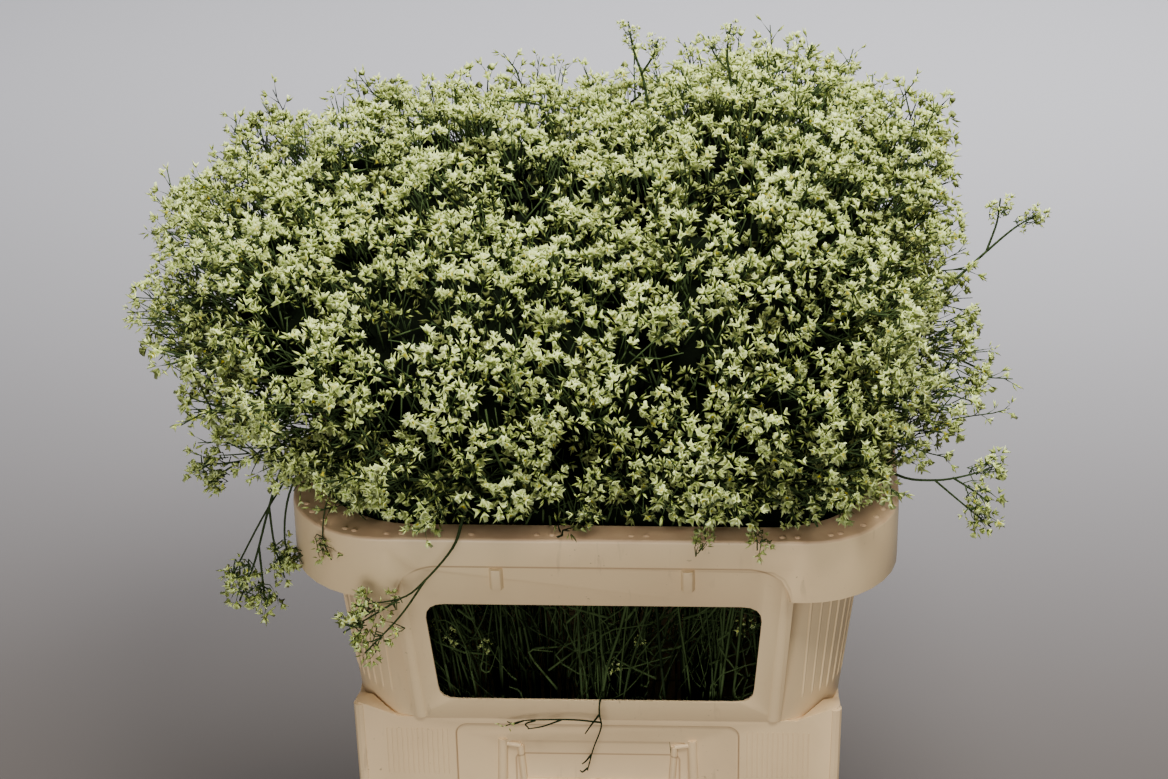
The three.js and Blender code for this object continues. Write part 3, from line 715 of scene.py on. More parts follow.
def outward_aims(points, normals, lengths, lean):
    """Which way clusters look. A twig whose foot would show is turned to start further in."""
    low = np.clip((LOW_BELOW - points[:, 2:]) / LOW_RANGE, 0, 1)
    origins = FAN_POINT * (1 - low) + (points * (0.6, 0.6, 0) + (0, 0, 0.545)) * low
    aims = unit(0.5 * unit(points - origins) + lean * unit(normals) * (1 - low * 0.7)
                + crown_random.normal(0, 0.2, points.shape))
    inner = points * (0.5, 0.5, 0) + (0, 0, 0.590)
    shows = ~out_of_sight(points - aims * np.reshape(lengths, (-1, 1)))
    aims[shows] = unit(points - inner)[shows]
    return aims


KINDS = [kind for group in GROUPS for kind in group]
DEPTH_SHADING, CLUSTER_SIZES = 20, (0.85, 1.15)
crown_bundles = [[] for _ in range(BUNCHES)]


def add_clusters(points, normals, depths, shares):
    """Clusters for the bunches that own the points. The deeper one stands, the darker it is
    painted, as painted shade.
    """
    aims = outward_aims(points, normals, 1.15 * TWIG_LENGTH + depths, 0.6)
    sizes = crown_random.uniform(*CLUSTER_SIZES, len(points))
    spins = crown_random.uniform(0, 2 * pi, len(points))
    tones = crown_random.normal(0, 0.15, len(points)) - DEPTH_SHADING * np.maximum(depths - 0.004, 0)
    tones += [0.5 * cloud_noise(Vector(point) / TONE_SIZE) for point in points]
    matrices = poses(points - aims * depths[:, None], aims, spins, sizes)
    picks = crown_random.choice(len(KINDS), len(points), p=shares)
    owners = bunch_of(points)
    for owner, bundle in enumerate(crown_bundles):
        for pick, kind in enumerate(KINDS):
            mask = (owners == owner) & (picks == pick)
            bundle.append(kind.copies(matrices[mask], tones[mask]))


# (throws, spacing, chance, least and most depth, shares of full, half and bud clusters and sprigs)
LAYERS = (
    (11000, 0.0150, patchy, -0.006, 0.016, (0.64, 0.24, 0.08, 0.04)),
    (14000, 0.0210, even, 0.020, 0.046, (0.15, 0.45, 0.40, 0.0)),
    (3000, 0.0290, patchy, -0.022, 0.000, (0.0, 0.22, 0.13, 0.65)),
)
for throws, spacing, chance, least, most, group_shares in LAYERS:
    points, normals = thrown_points(throws, spacing, chance)
    depths = crown_random.uniform(least, most, len(points))
    shares = [share / len(group) for group, share in zip(GROUPS, group_shares) for _ in group]
    add_clusters(points, normals, depths, shares)
    print("clusters in this layer:", len(points))

# %% Clusters that hang over the rim
# points along each twig, in millimetres
MILLIMETRES = 0.001
DROOPS = (
    ((-196, -140, 556), (-208, -168, 542), (-212, -182, 515), (-206, -186, 496)),
    ((112, -150, 560), (120, -190, 552), (128, -207, 535), (129, -210, 524)),
    ((-112, -150, 552), (-118, -182, 548), (-126, -198, 536)),
    ((-4, -150, 552), (0, -184, 546), (1, -196, 536)),
    ((78, -150, 562), (84, -188, 553), (88, -204, 540), (89, -208, 532)),
    ((98, -150, 566), (103, -186, 558), (107, -202, 546)),
    ((146, -146, 560), (154, -182, 552), (160, -200, 538)),
)
for droop in DROOPS:
    line = smooth_line(np.array(droop) * MILLIMETRES, 4)
    ends = line[[-1, -3]]
    aims = ends - line[[-2, -4]] + crown_random.normal(0, 0.001, (2, 3))
    matrices = poses(ends, aims, crown_random.uniform(0, 2 * pi, 2), (0.75, 0.60))
    bundle = crown_bundles[bunch_of(line[:1])[0]]
    kind = one_of(crown_random, SPRAY_CLUSTERS)
    bundle += [rods(TWIG, line, MAIN_RADII[1]), kind.copies(matrices)]

# %% [markdown]
# Between the clusters the light falls on bare green twigs that fork lower down. Near the rim,
# where few florets grow, narrow leaves like grass stand beside them.


# %% Bare twigs and narrow leaves
STICK_COVER = 0.004


def sticks(roots, aims, lengths, widths, tone):
    """Curved rods in two steps, from roots along aims. Their widths are (broad, thin)."""
    aims = unit(aims)
    middles = roots + aims * lengths[:, None] * 0.5
    turned = unit(aims + crown_random.normal(0, 0.22, aims.shape))
    away = middles + turned * lengths[:, None] * 0.55 - CROWN_MIDDLE
    hidden = np.linalg.norm(away, axis=1) < crown_reach(unit(away)) - STICK_COVER
    parts = []
    for starts, ways, share in ((roots, aims, 1), (middles, turned, 0.7)):
        starts, ways = starts[hidden], ways[hidden]
        count = len(starts)
        across = np.tile(np.array(widths) * share, (count, 1))
        sizes = np.column_stack((across, lengths[hidden] * 0.52))
        spins = crown_random.uniform(0, 2 * pi, count)
        tones = crown_random.normal(tone, 0.15, count)
        parts.append(TWIG.copies(poses(starts, ways, spins, sizes), tones))
    return parts


STICK_THROWS, LOWEST_STICK = 4500, 0.600
# (spacing, depth of the end, length, widths, tone) of twigs and of leaves
for spacing, depth, length, widths, tone in (
    (0.018, 0.016, 0.060, (0.0008, 0.0008), 0.0),
    (0.017, 0.034, 0.050, (0.0015, 0.0005), -0.1),
):
    points, _ = thrown_points(STICK_THROWS, spacing, lambda point: point[2] > LOWEST_STICK)
    owners = bunch_of(points)
    for owner, bundle in enumerate(crown_bundles):
        mine = points[owners == owner]
        lengths = crown_random.uniform(0.7, 1.2, len(mine)) * length
        aims = outward_aims(mine, mine - CROWN_MIDDLE, lengths + depth, 0.0)
        roots = mine - aims * (lengths + depth)[:, None]
        bundle += sticks(roots, aims, lengths, widths, tone)

# %% Leaves at the mouth of the collar
MOUTH_LEAVES, MOUTH_ARC_X, MOUTH_ARC_Y, MOUTH_ARC_RADIUS = 1200, 0.150, 0.100, 0.064
LEAF_FOOT, LEAF_WIDTHS = 0.506, (0.0013, 0.0004)
turns = crown_random.uniform(0, 2 * pi, MOUTH_LEAVES)
outward = np.column_stack((np.cos(turns), np.sin(turns), np.zeros(MOUTH_LEAVES)))
along = crown_random.uniform(-1, 1, MOUTH_LEAVES) * (MOUTH_ARC_X + MOUTH_ARC_RADIUS * 0.7)
roots = outward * MOUTH_ARC_RADIUS + np.sign(outward) * (MOUTH_ARC_X, MOUTH_ARC_Y, 0)
# in front and behind they stand anywhere along the straight part of the mouth
roots[:, 0] = np.where(abs(outward[:, 0]) > abs(outward[:, 1]), roots[:, 0], along)
roots *= crown_random.uniform(0.93, 1, (MOUTH_LEAVES, 1))
roots[:, 2] = LEAF_FOOT
aims = outward * 0.2 + (0, 0, 1) + crown_random.normal(0, 0.25, roots.shape)
lengths = crown_random.uniform(0.03, 0.08, MOUTH_LEAVES)
owners = bunch_of(roots)
for owner in np.unique(owners):
    mine = owners == owner
    crown_bundles[owner] += sticks(roots[mine], aims[mine], lengths[mine], LEAF_WIDTHS, 0.1)

# %% [markdown]
# ### Greens
# One material serves everything that grows. The first paint value of a corner leads through a
# ramp from twig green over bud green to cream, the second turns the eye yellow, and the tone
# makes one cluster paler, greener or duller than the next. A low tone leads to a dull, dark ramp:
# the dry twig's own colour, and painted shade on deep clusters and on the heart.

# %% Material of everything that grows
RAMP_PLACES = (0.0, 0.12, 0.35, 0.65, 1.0)
RAMPS = (
    ((5, 8, 3), (42, 53, 31), (92, 112, 44), (156, 168, 84), (204, 219, 142)),
    ((8, 12, 5), (66, 82, 46), (126, 146, 62), (200, 208, 122), (239, 254, 189)),
    ((5, 8, 3), (30, 40, 22), (56, 66, 30), (86, 92, 48), (112, 116, 72)),
)
growing, sheet, place, surface = new_material("statice")
painted = sheet.node("ShaderNodeAttribute", {"attribute_name": "growth"}, output=1)
petal, eye, tone = painted.axes()
ramps = []
for colours in RAMPS:
    stops = {at: paint(*colour) for at, colour in zip(RAMP_PLACES, colours)}
    ramps.append(sheet.node("ShaderNodeValToRGB", {"stops": stops}, {"Fac": petal}))
green, pale, dull_and_shaded = ramps
colour = sheet.mix((tone + noise(place, 260, 2) * 0.9).band(-0.25, 1.15), green, pale)
# painted shade: deep clusters and the heart have a low tone that leads to the dull, dark ramp
colour = sheet.mix(tone.band(-0.85, -0.15), dull_and_shaded, colour)
colour = sheet.mix(eye.band(0.35, 0.8) * 0.9, colour, paint(190, 175, 30))
surface(Base_Color=colour, Roughness=petal * -0.2 + 0.95, Specular_IOR_Level=0.02)


# %% A piece from a mesh or from templates
def dress(name, mesh, material, slot, *nodes):
    """Makes a piece from a mesh. It rides on the object and stands for some solids."""
    mesh.materials.append(material)
    piece = bpy.data.objects.new(name, mesh)
    bpy.context.scene.collection.objects.link(piece)
    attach(piece, "root")
    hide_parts(*nodes)


def grown(name, templates, slot, *nodes):
    """Makes a piece from templates and gives the number of its triangles."""
    whole = together(templates)
    mesh = bpy.data.meshes.new(name)
    mesh.vertices.add(len(whole.corners))
    mesh.vertices.foreach_set("co", whole.corners.astype(np.float32).ravel())
    mesh.loops.add(whole.triangles.size)
    mesh.loops.foreach_set("vertex_index", whole.triangles.astype(np.int32).ravel())
    mesh.polygons.add(len(whole.triangles))
    mesh.polygons.foreach_set("loop_start", np.arange(0, whole.triangles.size, 3, dtype=np.int32))
    growth = mesh.attributes.new("growth", "FLOAT_VECTOR", "POINT")
    growth.data.foreach_set("vector", whole.paints.astype(np.float32).ravel())
    mesh.update(calc_edges=True)
    dress(name, mesh, growing, slot, *nodes)
    return len(whole.triangles)


# %% [markdown]
# ### The heart of the crown
# Behind the florets the twigs stand so thick that no light gets through. A rough body under
# them, painted nearly black as painted shade, stands for that thicket. It reaches down into the
# mouth of the collar.

# %% Heart of the crown
HEART_INSET, HEART_NOISE, PLUG_NOISE = 0.086, 0.014, 0.003
PLUG_HALF_LENGTH, PLUG_HALF_WIDTH, PLUG_CORNER = 0.213, 0.163, 0.072
PLUG_FOOT, PLUG_TOP = 0.510, 0.556
HEART_SEED = 3
heart_random = np.random.default_rng(HEART_SEED)


def dark(bm, roughness, low):
    """Roughens a body, keeps it above a height and paints it nearly black, as painted shade."""
    for vert in bm.verts:
        vert.co += Vector(heart_random.uniform(-roughness, roughness, 3))
        vert.co.z = max(vert.co.z, low)
    body = from_bmesh(bm, lambda co: (heart_random.uniform(0.0, 0.03), 0))
    # a tone of -1 leads to the near black of the dull ramp: painted shade
    body.paints[:, 2] = -1
    return body


heart = dark(crown_mesh(5, HEART_INSET), HEART_NOISE, CROWN_UNDERSIDE + 0.004)
bm = bmesh.new()
size = Vector((2 * PLUG_HALF_LENGTH, 2 * PLUG_HALF_WIDTH, PLUG_TOP - PLUG_FOOT))
bmesh.ops.create_cube(bm, size=1, matrix=Matrix.Translation((0, 0, (PLUG_TOP + PLUG_FOOT) / 2))
                      @ Matrix.Diagonal(size).to_4x4())
upright = [e for e in bm.edges if abs(e.verts[0].co.z - e.verts[1].co.z) > 0.01]
bmesh.ops.bevel(bm, geom=upright, offset=PLUG_CORNER, segments=6, profile=0.5, affect="EDGES")
bmesh.ops.triangulate(bm, faces=bm.faces)
for _ in range(3):
    long_edges = [e for e in bm.edges if e.calc_length() > 0.03]
    bmesh.ops.subdivide_edges(bm, edges=long_edges, cuts=1)
    bmesh.ops.triangulate(bm, faces=bm.faces)
heart = together([heart, dark(bm, PLUG_NOISE, PLUG_FOOT)])
print("heart:", len(heart.triangles), "triangles")

# %% Make the bunches
heart_owner = bunch_of(heart.corners[heart.triangles].mean(axis=1))
total = 0
for index, bundle in enumerate(crown_bundles):
    number = f"{index + 1:02d}"
    mine = heart.triangles[heart_owner == index]
    used, renumbered = np.unique(mine, return_inverse=True)
    core = Template(heart.corners[used], renumbered.reshape(-1, 3), heart.paints[used])
    total += grown(f"florets_{number}", [core, *bundle], "floret_cream", f"flowers_{number}")
print("triangles in the crown:", total)

# %% [markdown]
# ## Stems
# Under the crown every bunch is a sheaf of thin stems. They stand close together in the water
# and spread to the mouth of the collar. Narrow leaves stand between them, and the window shows
# stems and leaves crossing in the dark.

# %% Stems of each bunch
STEM_FOOT, SEAT, MOUTH = 0.008, 0.320, 0.512
STEMS_A_BUNCH, LEAVES_A_BUNCH = 14, 60
FOOT_SPREAD, LOW_SPREAD, TOP_SPREAD, ROOT_SPREAD = 0.0035, 0.0050, 0.028, 0.022
STEM_RADII, LEAF_RADII, LEAF_LENGTHS = (0.0007, 0.0013), (0.0004, 0.0014), (0.03, 0.10)
LOW_BEND, LEAF_FEET = 0.09, (0.300, 0.440)
INSIDE_ARC, INSIDE_ARC_RADIUS = np.array((0.140, 0.090)), 0.055
STEM_SEED = 5
stem_random = np.random.default_rng(STEM_SEED)


def kept_inside(points):
    """Moves points that would pass through a wall of the collar back inside."""
    flat = points[..., :2]
    beyond = np.sign(flat) * np.maximum(abs(flat) - INSIDE_ARC, 0)
    reach = np.linalg.norm(beyond, axis=-1, keepdims=True)
    points[..., :2] -= beyond * np.maximum(1 - INSIDE_ARC_RADIUS / np.maximum(reach, 1e-6), 0)
    return points


def stem_bundle(foot, lean):
    """The stems of one bunch, and the narrow leaves between them."""
    parts = []
    top = FAN_POINT + lean * (MOUTH - FAN_POINT[2]) / lean[2]
    for _ in range(STEMS_A_BUNCH):
        aside = stem_random.normal(0, 1, 3) * (1, 1, 0)
        start = foot + aside * FOOT_SPREAD + (0, 0, STEM_FOOT)
        low = foot + aside * LOW_SPREAD + (0, 0, LOW_BEND)
        end = top + aside * TOP_SPREAD + stem_random.normal(0, 0.012, 3) * (1, 0.6, 0)
        bend = low * 0.6 + end * 0.4 + stem_random.normal(0, 0.004, 3)
        bend[2] = SEAT
        sway = bend * 0.4 + end * 0.6 + stem_random.normal(0, 0.008, 3) * (1, 1, 0)
        line = kept_inside(smooth_line([start, low, bend, sway, end], 3))
        tone = stem_random.normal(0.0, 0.25)
        parts.append(rods(STEM, line, stem_random.uniform(*STEM_RADII), tone))
    roots = foot * 0.45 + top * 0.55 + stem_random.normal(0, ROOT_SPREAD, (LEAVES_A_BUNCH, 3))
    roots[:, 2] = stem_random.uniform(*LEAF_FEET, LEAVES_A_BUNCH)
    for root in kept_inside(roots):
        aim = unit(lean + stem_random.normal(0, 0.45, 3) * (1, 0.7, 0.5))
        length = stem_random.uniform(*LEAF_LENGTHS)
        bow = stem_random.normal(0, 0.20, 3) * length
        line = [root, root + aim * length * 0.5 + bow, root + aim * length]
        line = kept_inside(smooth_line(line, 3))
        radii = np.linspace(1, 0.5, len(line) - 1) * stem_random.uniform(*LEAF_RADII)
        parts.append(rods(TWIG, line, radii, stem_random.normal(0.15, 0.3)))
    return parts


# a few pale sprigs have slipped down among the front stems: (x, y, z, size)
LOW_SPRIGS = (
    (-0.130, -0.134, 0.400, 0.5), (-0.117, -0.137, 0.392, 0.6), (-0.090, -0.140, 0.385, 0.45),
    (0.015, -0.142, 0.367, 0.5), (0.122, -0.134, 0.402, 0.6), (0.036, -0.142, 0.392, 0.35),
)
total = 0
for index, (foot, lean) in enumerate(zip(BUNCH_FEET, BUNCH_LEANS)):
    number = f"{index + 1:02d}"
    parts = stem_bundle(foot, lean)
    for x, y, z, size in LOW_SPRIGS:
        place = np.array((x, y, z))
        if bunch_of(place[None] + (0, 0, 0.1))[0] == index:
            kind = SPRAY_CLUSTERS[index % len(SPRAY_CLUSTERS)]
            parts.append(kind.copies(poses(place, (0.2, -0.7, 0.5), 0, size)))
    total += grown(f"sheaf_{number}", parts, "stem_green", f"stems_{number}")
print("triangles in the stems:", total)

# %% [markdown]
# ## Stray sprays
# A few sprays leave the mass: one hangs over the front of the rim, one hangs outside the left
# corner, others reach out low on both sides, and two sprigs stand above the top. Each has a
# list of branches, and each branch a list of points in millimetres.

# %% Sprays
SPRAYS = {
    "spray_over_front_rim": (
        ((-92, -172, 556), (-100, -192, 537), (-107, -205, 520),
         (-129, -212, 494), (-149, -214, 478), (-186, -214, 471)),
        ((-129, -212, 494), (-150, -215, 462), (-179, -216, 428)),
        ((-149, -214, 478), (-172, -215, 462), (-195, -214, 446)),
    ),
    "spray_left_hanging": (
        ((-222, -118, 566), (-246, -136, 552), (-259, -146, 519),
         (-273, -150, 471), (-288, -150, 433)),
        ((-232, -122, 556), (-262, -138, 512), (-284, -146, 472), (-296, -148, 448)),
        ((-226, -118, 560), (-243, -140, 528), (-248, -148, 492), (-243, -150, 468)),
        ((-259, -146, 519), (-256, -152, 488), (-250, -152, 457)),
        ((-269, -150, 485), (-267, -156, 455), (-266, -158, 432)),
    ),
    "spray_left_low": (
        ((-238, -96, 560), (-264, -112, 548), (-295, -120, 544), (-325, -122, 545)),
        ((-284, -118, 545), (-300, -128, 538), (-312, -132, 530)),
    ),
    "spray_right_low": (
        ((212, -108, 560), (240, -122, 540), (270, -125, 537), (298, -124, 542), (321, -122, 551)),
        ((270, -125, 537), (292, -132, 520), (315, -134, 500)),
        ((284, -124, 539), (300, -132, 532), (312, -140, 526)),
    ),
    "spray_right_high": (
        ((280, -10, 648), (312, -6, 680), (334, -3, 700), (354, 0, 712)),
        ((312, -6, 680), (320, 2, 702), (322, 4, 722)),
    ),
    "sprig_top_left": (
        ((44, 52, 752), (36, 58, 800), (28, 60, 826), (24, 60, 850)),
        ((34, 58, 806), (44, 54, 824), (48, 52, 838)),
    ),
    "sprig_top_right": (
        ((112, 52, 752), (106, 58, 800), (103, 60, 824), (106, 60, 848)),
        ((105, 58, 808), (93, 62, 822), (88, 64, 836)),
    ),
}
SPRAY_SEED = 11
spray_random = np.random.default_rng(SPRAY_SEED)
MAIN_SPRAY_RADIUS, SIDE_SPRAY_RADIUS, SPRAY_END_RADIUS, SPRAY_TONE = 0.0014, 0.0010, 0.0007, -0.25
SPRAY_SIZES = {"sprig_top_left": 0.6, "sprig_top_right": 0.6, "spray_right_high": 0.75}


def branch(line, thick, thin, tone):
    """One rod along a line, ever thinner towards its end."""
    return rods(ROUND_TWIG, line, np.linspace(thick, thin, len(line) - 1), tone)


def spray_parts(branches, scale):
    """A smooth twig along each branch, with small clusters at its end and just below it."""
    parts = []
    for number, points in enumerate(branches):
        line = smooth_line(np.array(points) * MILLIMETRES, 5)
        thick = SIDE_SPRAY_RADIUS if number else MAIN_SPRAY_RADIUS
        parts.append(branch(line, thick, SPRAY_END_RADIUS, SPRAY_TONE))
        heading = unit(line[-1] - line[-3])
        for back, size in ((0, 1.0), (1, 0.85), (3, 0.8)):
            aim = unit(heading + spray_random.normal(0, 0.5 if back else 0.15, 3))
            kind = one_of(spray_random, SPRAY_CLUSTERS)
            size *= scale
            place = line[-1 - back] + aim * 0.004 * size
            matrices = poses(place, aim, spray_random.uniform(0, 2 * pi), size)
            parts.append(kind.copies(matrices, spray_random.normal(0.1, 0.15)))
    return parts


for name, branches in SPRAYS.items():
    piece_name = "stray_" + name.replace("spray_", "")
    parts = spray_parts(branches, SPRAY_SIZES.get(name, 1.0))
    print(piece_name, grown(piece_name, parts, "spray_green", name), "triangles")

# %% [markdown]
# A bare twig has fallen on the sill of the window. It is nearly black, forks twice, and still
# carries a few green buds at the end of its longest branch.

# %% Broken twig
BROKEN_TWIG = (
    ((8, -134, 345.8), (5, -147, 344.4), (3, -161, 343.6), (3, -166, 335.2),
     (4, -162, 320), (-3, -159, 296), (-8, -158, 274)),
    ((4, -162, 325), (-18, -163, 328), (-42, -162, 327), (-60, -161, 325), (-75, -160, 319)),
    ((3, -166, 336), (-3, -165, 326), (-9, -162, 314)),
    ((-28, -163, 328), (-44, -163, 321), (-56, -161, 317)),
    ((-50, -162, 326), (-58, -161, 322), (-56, -160, 317)),
    ((-60, -161, 325), (-68, -160, 321), (-73, -160, 323)),
    ((-5, -159, 290), (-9, -159, 284), (-12, -159, 281)),
    ((-8, -158, 276), (-12, -158, 272), (-14, -158, 273)),
)
DEAD_RADIUS, DEAD_END_RADIUS, DEAD_TONE, TWIG_BUD_LENGTH = 0.0009, 0.0005, -1.0, 0.006
parts = []
for points in BROKEN_TWIG:
    line = smooth_line(np.array(points) * MILLIMETRES, 4)
    parts.append(branch(line, DEAD_RADIUS, DEAD_END_RADIUS, DEAD_TONE))
for x, z in ((-74, 320), (-70, 323), (-76, 318), (-66, 322), (-72, 317), (-79, 321)):
    root = np.array((x, -160, z)) * MILLIMETRES
    aim = unit(np.array((-1, -0.2, 0.1)) + spray_random.normal(0, 0.5, 3))
    parts.append(BUD.copies(poses(root, aim, 0, TWIG_BUD_LENGTH)))
grown("bare_twig", parts, "dry_twig", "broken_twig")

# %% [markdown]
# ## Collar and bucket
# Both are moulded plastic with rounded edges. Their solids have the right walls, so each piece
# starts from a copy of its solid. The copy's loose triangles are merged, its flat faces are
# joined again, and its sharp edges get a small bevel, which catches the light as a mould does.


# %% A moulded copy of a solid
def moulded_bmesh(node):
    """A copy of a solid with its flat faces joined."""
    bm = bmesh.new()
    bm.from_mesh(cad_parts[node].data)
    bmesh.ops.remove_doubles(bm, verts=bm.verts, dist=2e-5)
    bmesh.ops.dissolve_limit(bm, angle_limit=radians(0.8), verts=bm.verts, edges=bm.edges)
    return bm


def rounded(bm, edges, width, segments):
    """Rounds some edges."""
    bmesh.ops.bevel(bm, geom=edges, offset=width, segments=segments, profile=0.5,
                    affect="EDGES", material=-1, clamp_overlap=True)


def sharp_edges(bm, least):
    """The edges where two faces meet at more than an angle."""
    return [e for e in bm.edges if e.is_manifold and e.calc_face_angle() > least]


EDGE_ROUNDING, EDGE_ANGLE, SHARP_ANGLE = 0.0009, radians(35), radians(32)


def finished(bm, name, material, slot, *nodes):
    """Turns a bmesh into a smooth piece that stands for some solids."""
    mesh = bpy.data.meshes.new(name)
    bm.to_mesh(mesh)
    bm.free()
    mesh.shade_smooth()
    mesh.set_sharp_from_angle(angle=SHARP_ANGLE)
    dress(name, mesh, material, slot, *nodes)


# %% [markdown]
# Small mouldings, such as ribs and pimples, are closed shapes sunk into the wall. Each is made
# once for the front right and then copied to its mirror places: the collar and the bucket look
# the same from the left and from behind.


# %% Small mouldings
def rod_between(bm, start, end, radius, segments=10, flat=1.0):
    """A rod from one point to another. flat below 1 presses it against the wall along y."""
    start, end = Vector(start), Vector(end)
    turn = (end - start).to_track_quat("Z", "Y").to_matrix().to_4x4()
    made = bmesh.ops.create_cone(
        bm, cap_ends=True, segments=segments, radius1=radius, radius2=radius,
        depth=(end - start).length, matrix=Matrix.Translation((start + end) / 2) @ turn)
    for vert in made["verts"]:
        middle = start.y + (end.y - start.y) * (vert.co.z - start.z) / ((end.z - start.z) or 1)
        vert.co.y = middle + (vert.co.y - middle) * flat


PIMPLE_RADIUS, PIMPLE_HEIGHT = 0.0026, 0.0014


def pimple(bm, place):
    """A low dome."""
    flat = Matrix.Diagonal((1, 1, PIMPLE_HEIGHT / PIMPLE_RADIUS, 1))
    bmesh.ops.create_uvsphere(bm, u_segments=10, v_segments=6, radius=PIMPLE_RADIUS,
                              matrix=Matrix.Translation(place) @ flat)


def mirrored_into(bm, details):
    """Adds the details and their mirror images, left and behind, to a bmesh."""
    for axis in (Vector((1, 0, 0)), Vector((0, 1, 0))):
        mirror = Matrix.Scale(-1, 4, axis)
        geom = details.faces[:] + details.edges[:] + details.verts[:]
        made = bmesh.ops.duplicate(details, geom=geom)["geom"]
        verts = [item for item in made if isinstance(item, bmesh.types.BMVert)]
        bmesh.ops.transform(details, matrix=mirror, verts=verts)
    bmesh.ops.recalc_face_normals(details, faces=details.faces)
    mesh = bpy.data.meshes.new("details")
    details.to_mesh(mesh)
    details.free()
    bm.from_mesh(mesh)
    bpy.data.meshes.remove(mesh)


# %% [markdown]
# ### Plastic
# The beige plastic is satin and has been used: it is cloudy, has short scuffs and dark specks,
# and the ledge of the rim is painted brown, partly dirt and partly painted shade under the crown.
# A fine warm dark line, painted shade in a groove, runs where a panel begins. The line comes
# from the distance to a rounded rectangle, worked out from the place on the surface.


# %% Plastic
def rounded_line(place, half_length, half_height, corner, middle_height):
    """1 on the outline of an upright rounded rectangle at x = 0, and 0 away from it."""
    x, _, z = place.axes()
    along = (x.math("ABSOLUTE") - (half_length - corner)).math("MAXIMUM")
    up = ((z - middle_height).math("ABSOLUTE") - (half_height - corner)).math("MAXIMUM")
    distance = (along * along + up * up).math("SQRT") - corner
    return distance.math("ABSOLUTE").band(0.0011, 0.0004)


def plastic(name, light, dark, groove_shade_lines, ledge_height):
    """Beige moulded plastic. lines gives (outline, least distance from the middle along y)."""
    material, sheet, place, surface = new_material(name)
    _, y, z = place.axes()
    cloud = noise(place, 7, 3)
    blotches = noise(place, 38, 4).band(0.55, 0.8)
    specks = noise(place, 240, 2).band(0.70, 0.76)
    patches = noise(place, 9, 2).band(0.45, 0.65)
    scuffs = noise(place, 55, 5, (2.2, 2.2, 0.35)).band(0.62, 0.70)
    colour = sheet.mix(cloud.band(0.3, 0.7), light, dark)
    colour = sheet.mix(blotches * 0.12, colour, paint(176, 146, 112))
    colour = sheet.mix(scuffs * patches * 0.30, colour, paint(140, 116, 92))
    colour = sheet.mix(specks * patches * 0.55, colour, paint(92, 72, 54))
    # painted shade: a warm dark line along each panel's outline, where its groove lies in shade
    for outline, least in groove_shade_lines:
        front = y.math("ABSOLUTE").band(least, least + 0.002)
        colour = sheet.mix(rounded_line(place, *outline) * front * 0.6, colour, paint(146, 110, 76))
    # the ledge is painted brown: partly dirt, partly painted shade under the overhanging crown
    ledge_dirt_and_shade = z.band(ledge_height - 0.0022, ledge_height - 0.0008)
    dust_and_shade = noise(place, 60, 4).band(0.25, 0.7)
    colour = sheet.mix(ledge_dirt_and_shade * (dust_and_shade * 0.3 + 0.5), colour, paint(196, 156, 118))
    grain = noise(place, 500, 2)
    bump = sheet.node("ShaderNodeBump", {}, {
        "Strength": 0.1, "Distance": 0.0003, "Height": grain + cloud,
    })
    surface(Base_Color=colour, Roughness=cloud * 0.16 + 0.34, Normal=bump)
    return material


# (half length, half height, corner radius, middle height) and the least distance along y
PANEL_LINE = ((0.117, 0.078, 0.010, 0.235), 0.140)
GRIP_LINE = ((0.068, 0.032, 0.006, 0.2495), 0.140)
BAY_LINE = ((0.156, 0.100, 0.034, 0.3945), 0.1905)
LIGHT_BEIGE, DARK_BEIGE = paint(231, 203, 156), paint(225, 195, 149)
collar_plastic = plastic("beige_collar_plastic", LIGHT_BEIGE, DARK_BEIGE, [BAY_LINE], RIM_TOP)
BUCKET_BEIGE = paint(218, 188, 144)
BUCKET_LINES = [PANEL_LINE, GRIP_LINE]
bucket_plastic = plastic("beige_bucket_plastic", BUCKET_BEIGE, DARK_BEIGE, BUCKET_LINES, 2.0)

# %% [markdown]
# ### Collar
# The collar widens to a broad rim with a soft lip. Pimples stand on the rim's ledge, two short
# ribs hold the band over the window, a bead runs down each side of the window's panel, and
# upright ribs stiffen the rounded corners.

# %% Collar
FLARE, COLLAR_ARC_X, COLLAR_ARC_Y, COLLAR_ARC_RADIUS = 0.1175, 0.1405, 0.0905, 0.060


def outside_ledge(co):
    """Whether a point is nearer to the rim's outer edge than to its inner one."""
    away = Vector((max(abs(co.x) - RIM_ARC_X, 0), max(abs(co.y) - RIM_ARC_Y, 0))).length
    return away > RIM_ARC_RADIUS - LEDGE_WIDTH / 2


def on_corner_wall(angle, z, proud):
    """A point on the collar's rounded corner, proud of it. Angle 0 faces the front."""
    reach = COLLAR_ARC_RADIUS + FLARE * (z - SEAT) + proud
    return (COLLAR_ARC_X + reach * sin(angle), -COLLAR_ARC_Y - reach * cos(angle), z)


def bay_face(z):
    """Where the face of the window's panel is, along y, at a height."""
    return -0.1505 - 0.0425 * (z - SEAT) / 0.174


bm = moulded_bmesh("collar")
lip = [e for e in sharp_edges(bm, radians(60))
       if all(v.co.z > RIM_TOP - 1e-4 and outside_ledge(v.co) for v in e.verts)]
rounded(bm, lip, 0.0028, 4)
rounded(bm, sharp_edges(bm, EDGE_ANGLE), EDGE_ROUNDING, 2)
print("collar:", len(bm.faces), "faces, open edges:", sum(not e.is_manifold for e in bm.edges))

# %% Mouldings of the collar
FLUTES, FLUTE_START, FLUTE_STEP, FLUTE_RADIUS = 7, radians(27), radians(8), 0.0012
PIMPLES, CORNER_PIMPLES = (0.031, 0.043, 0.094, 0.149, 0.161), (0.30, 0.42, 0.75, 1.0, 1.2)

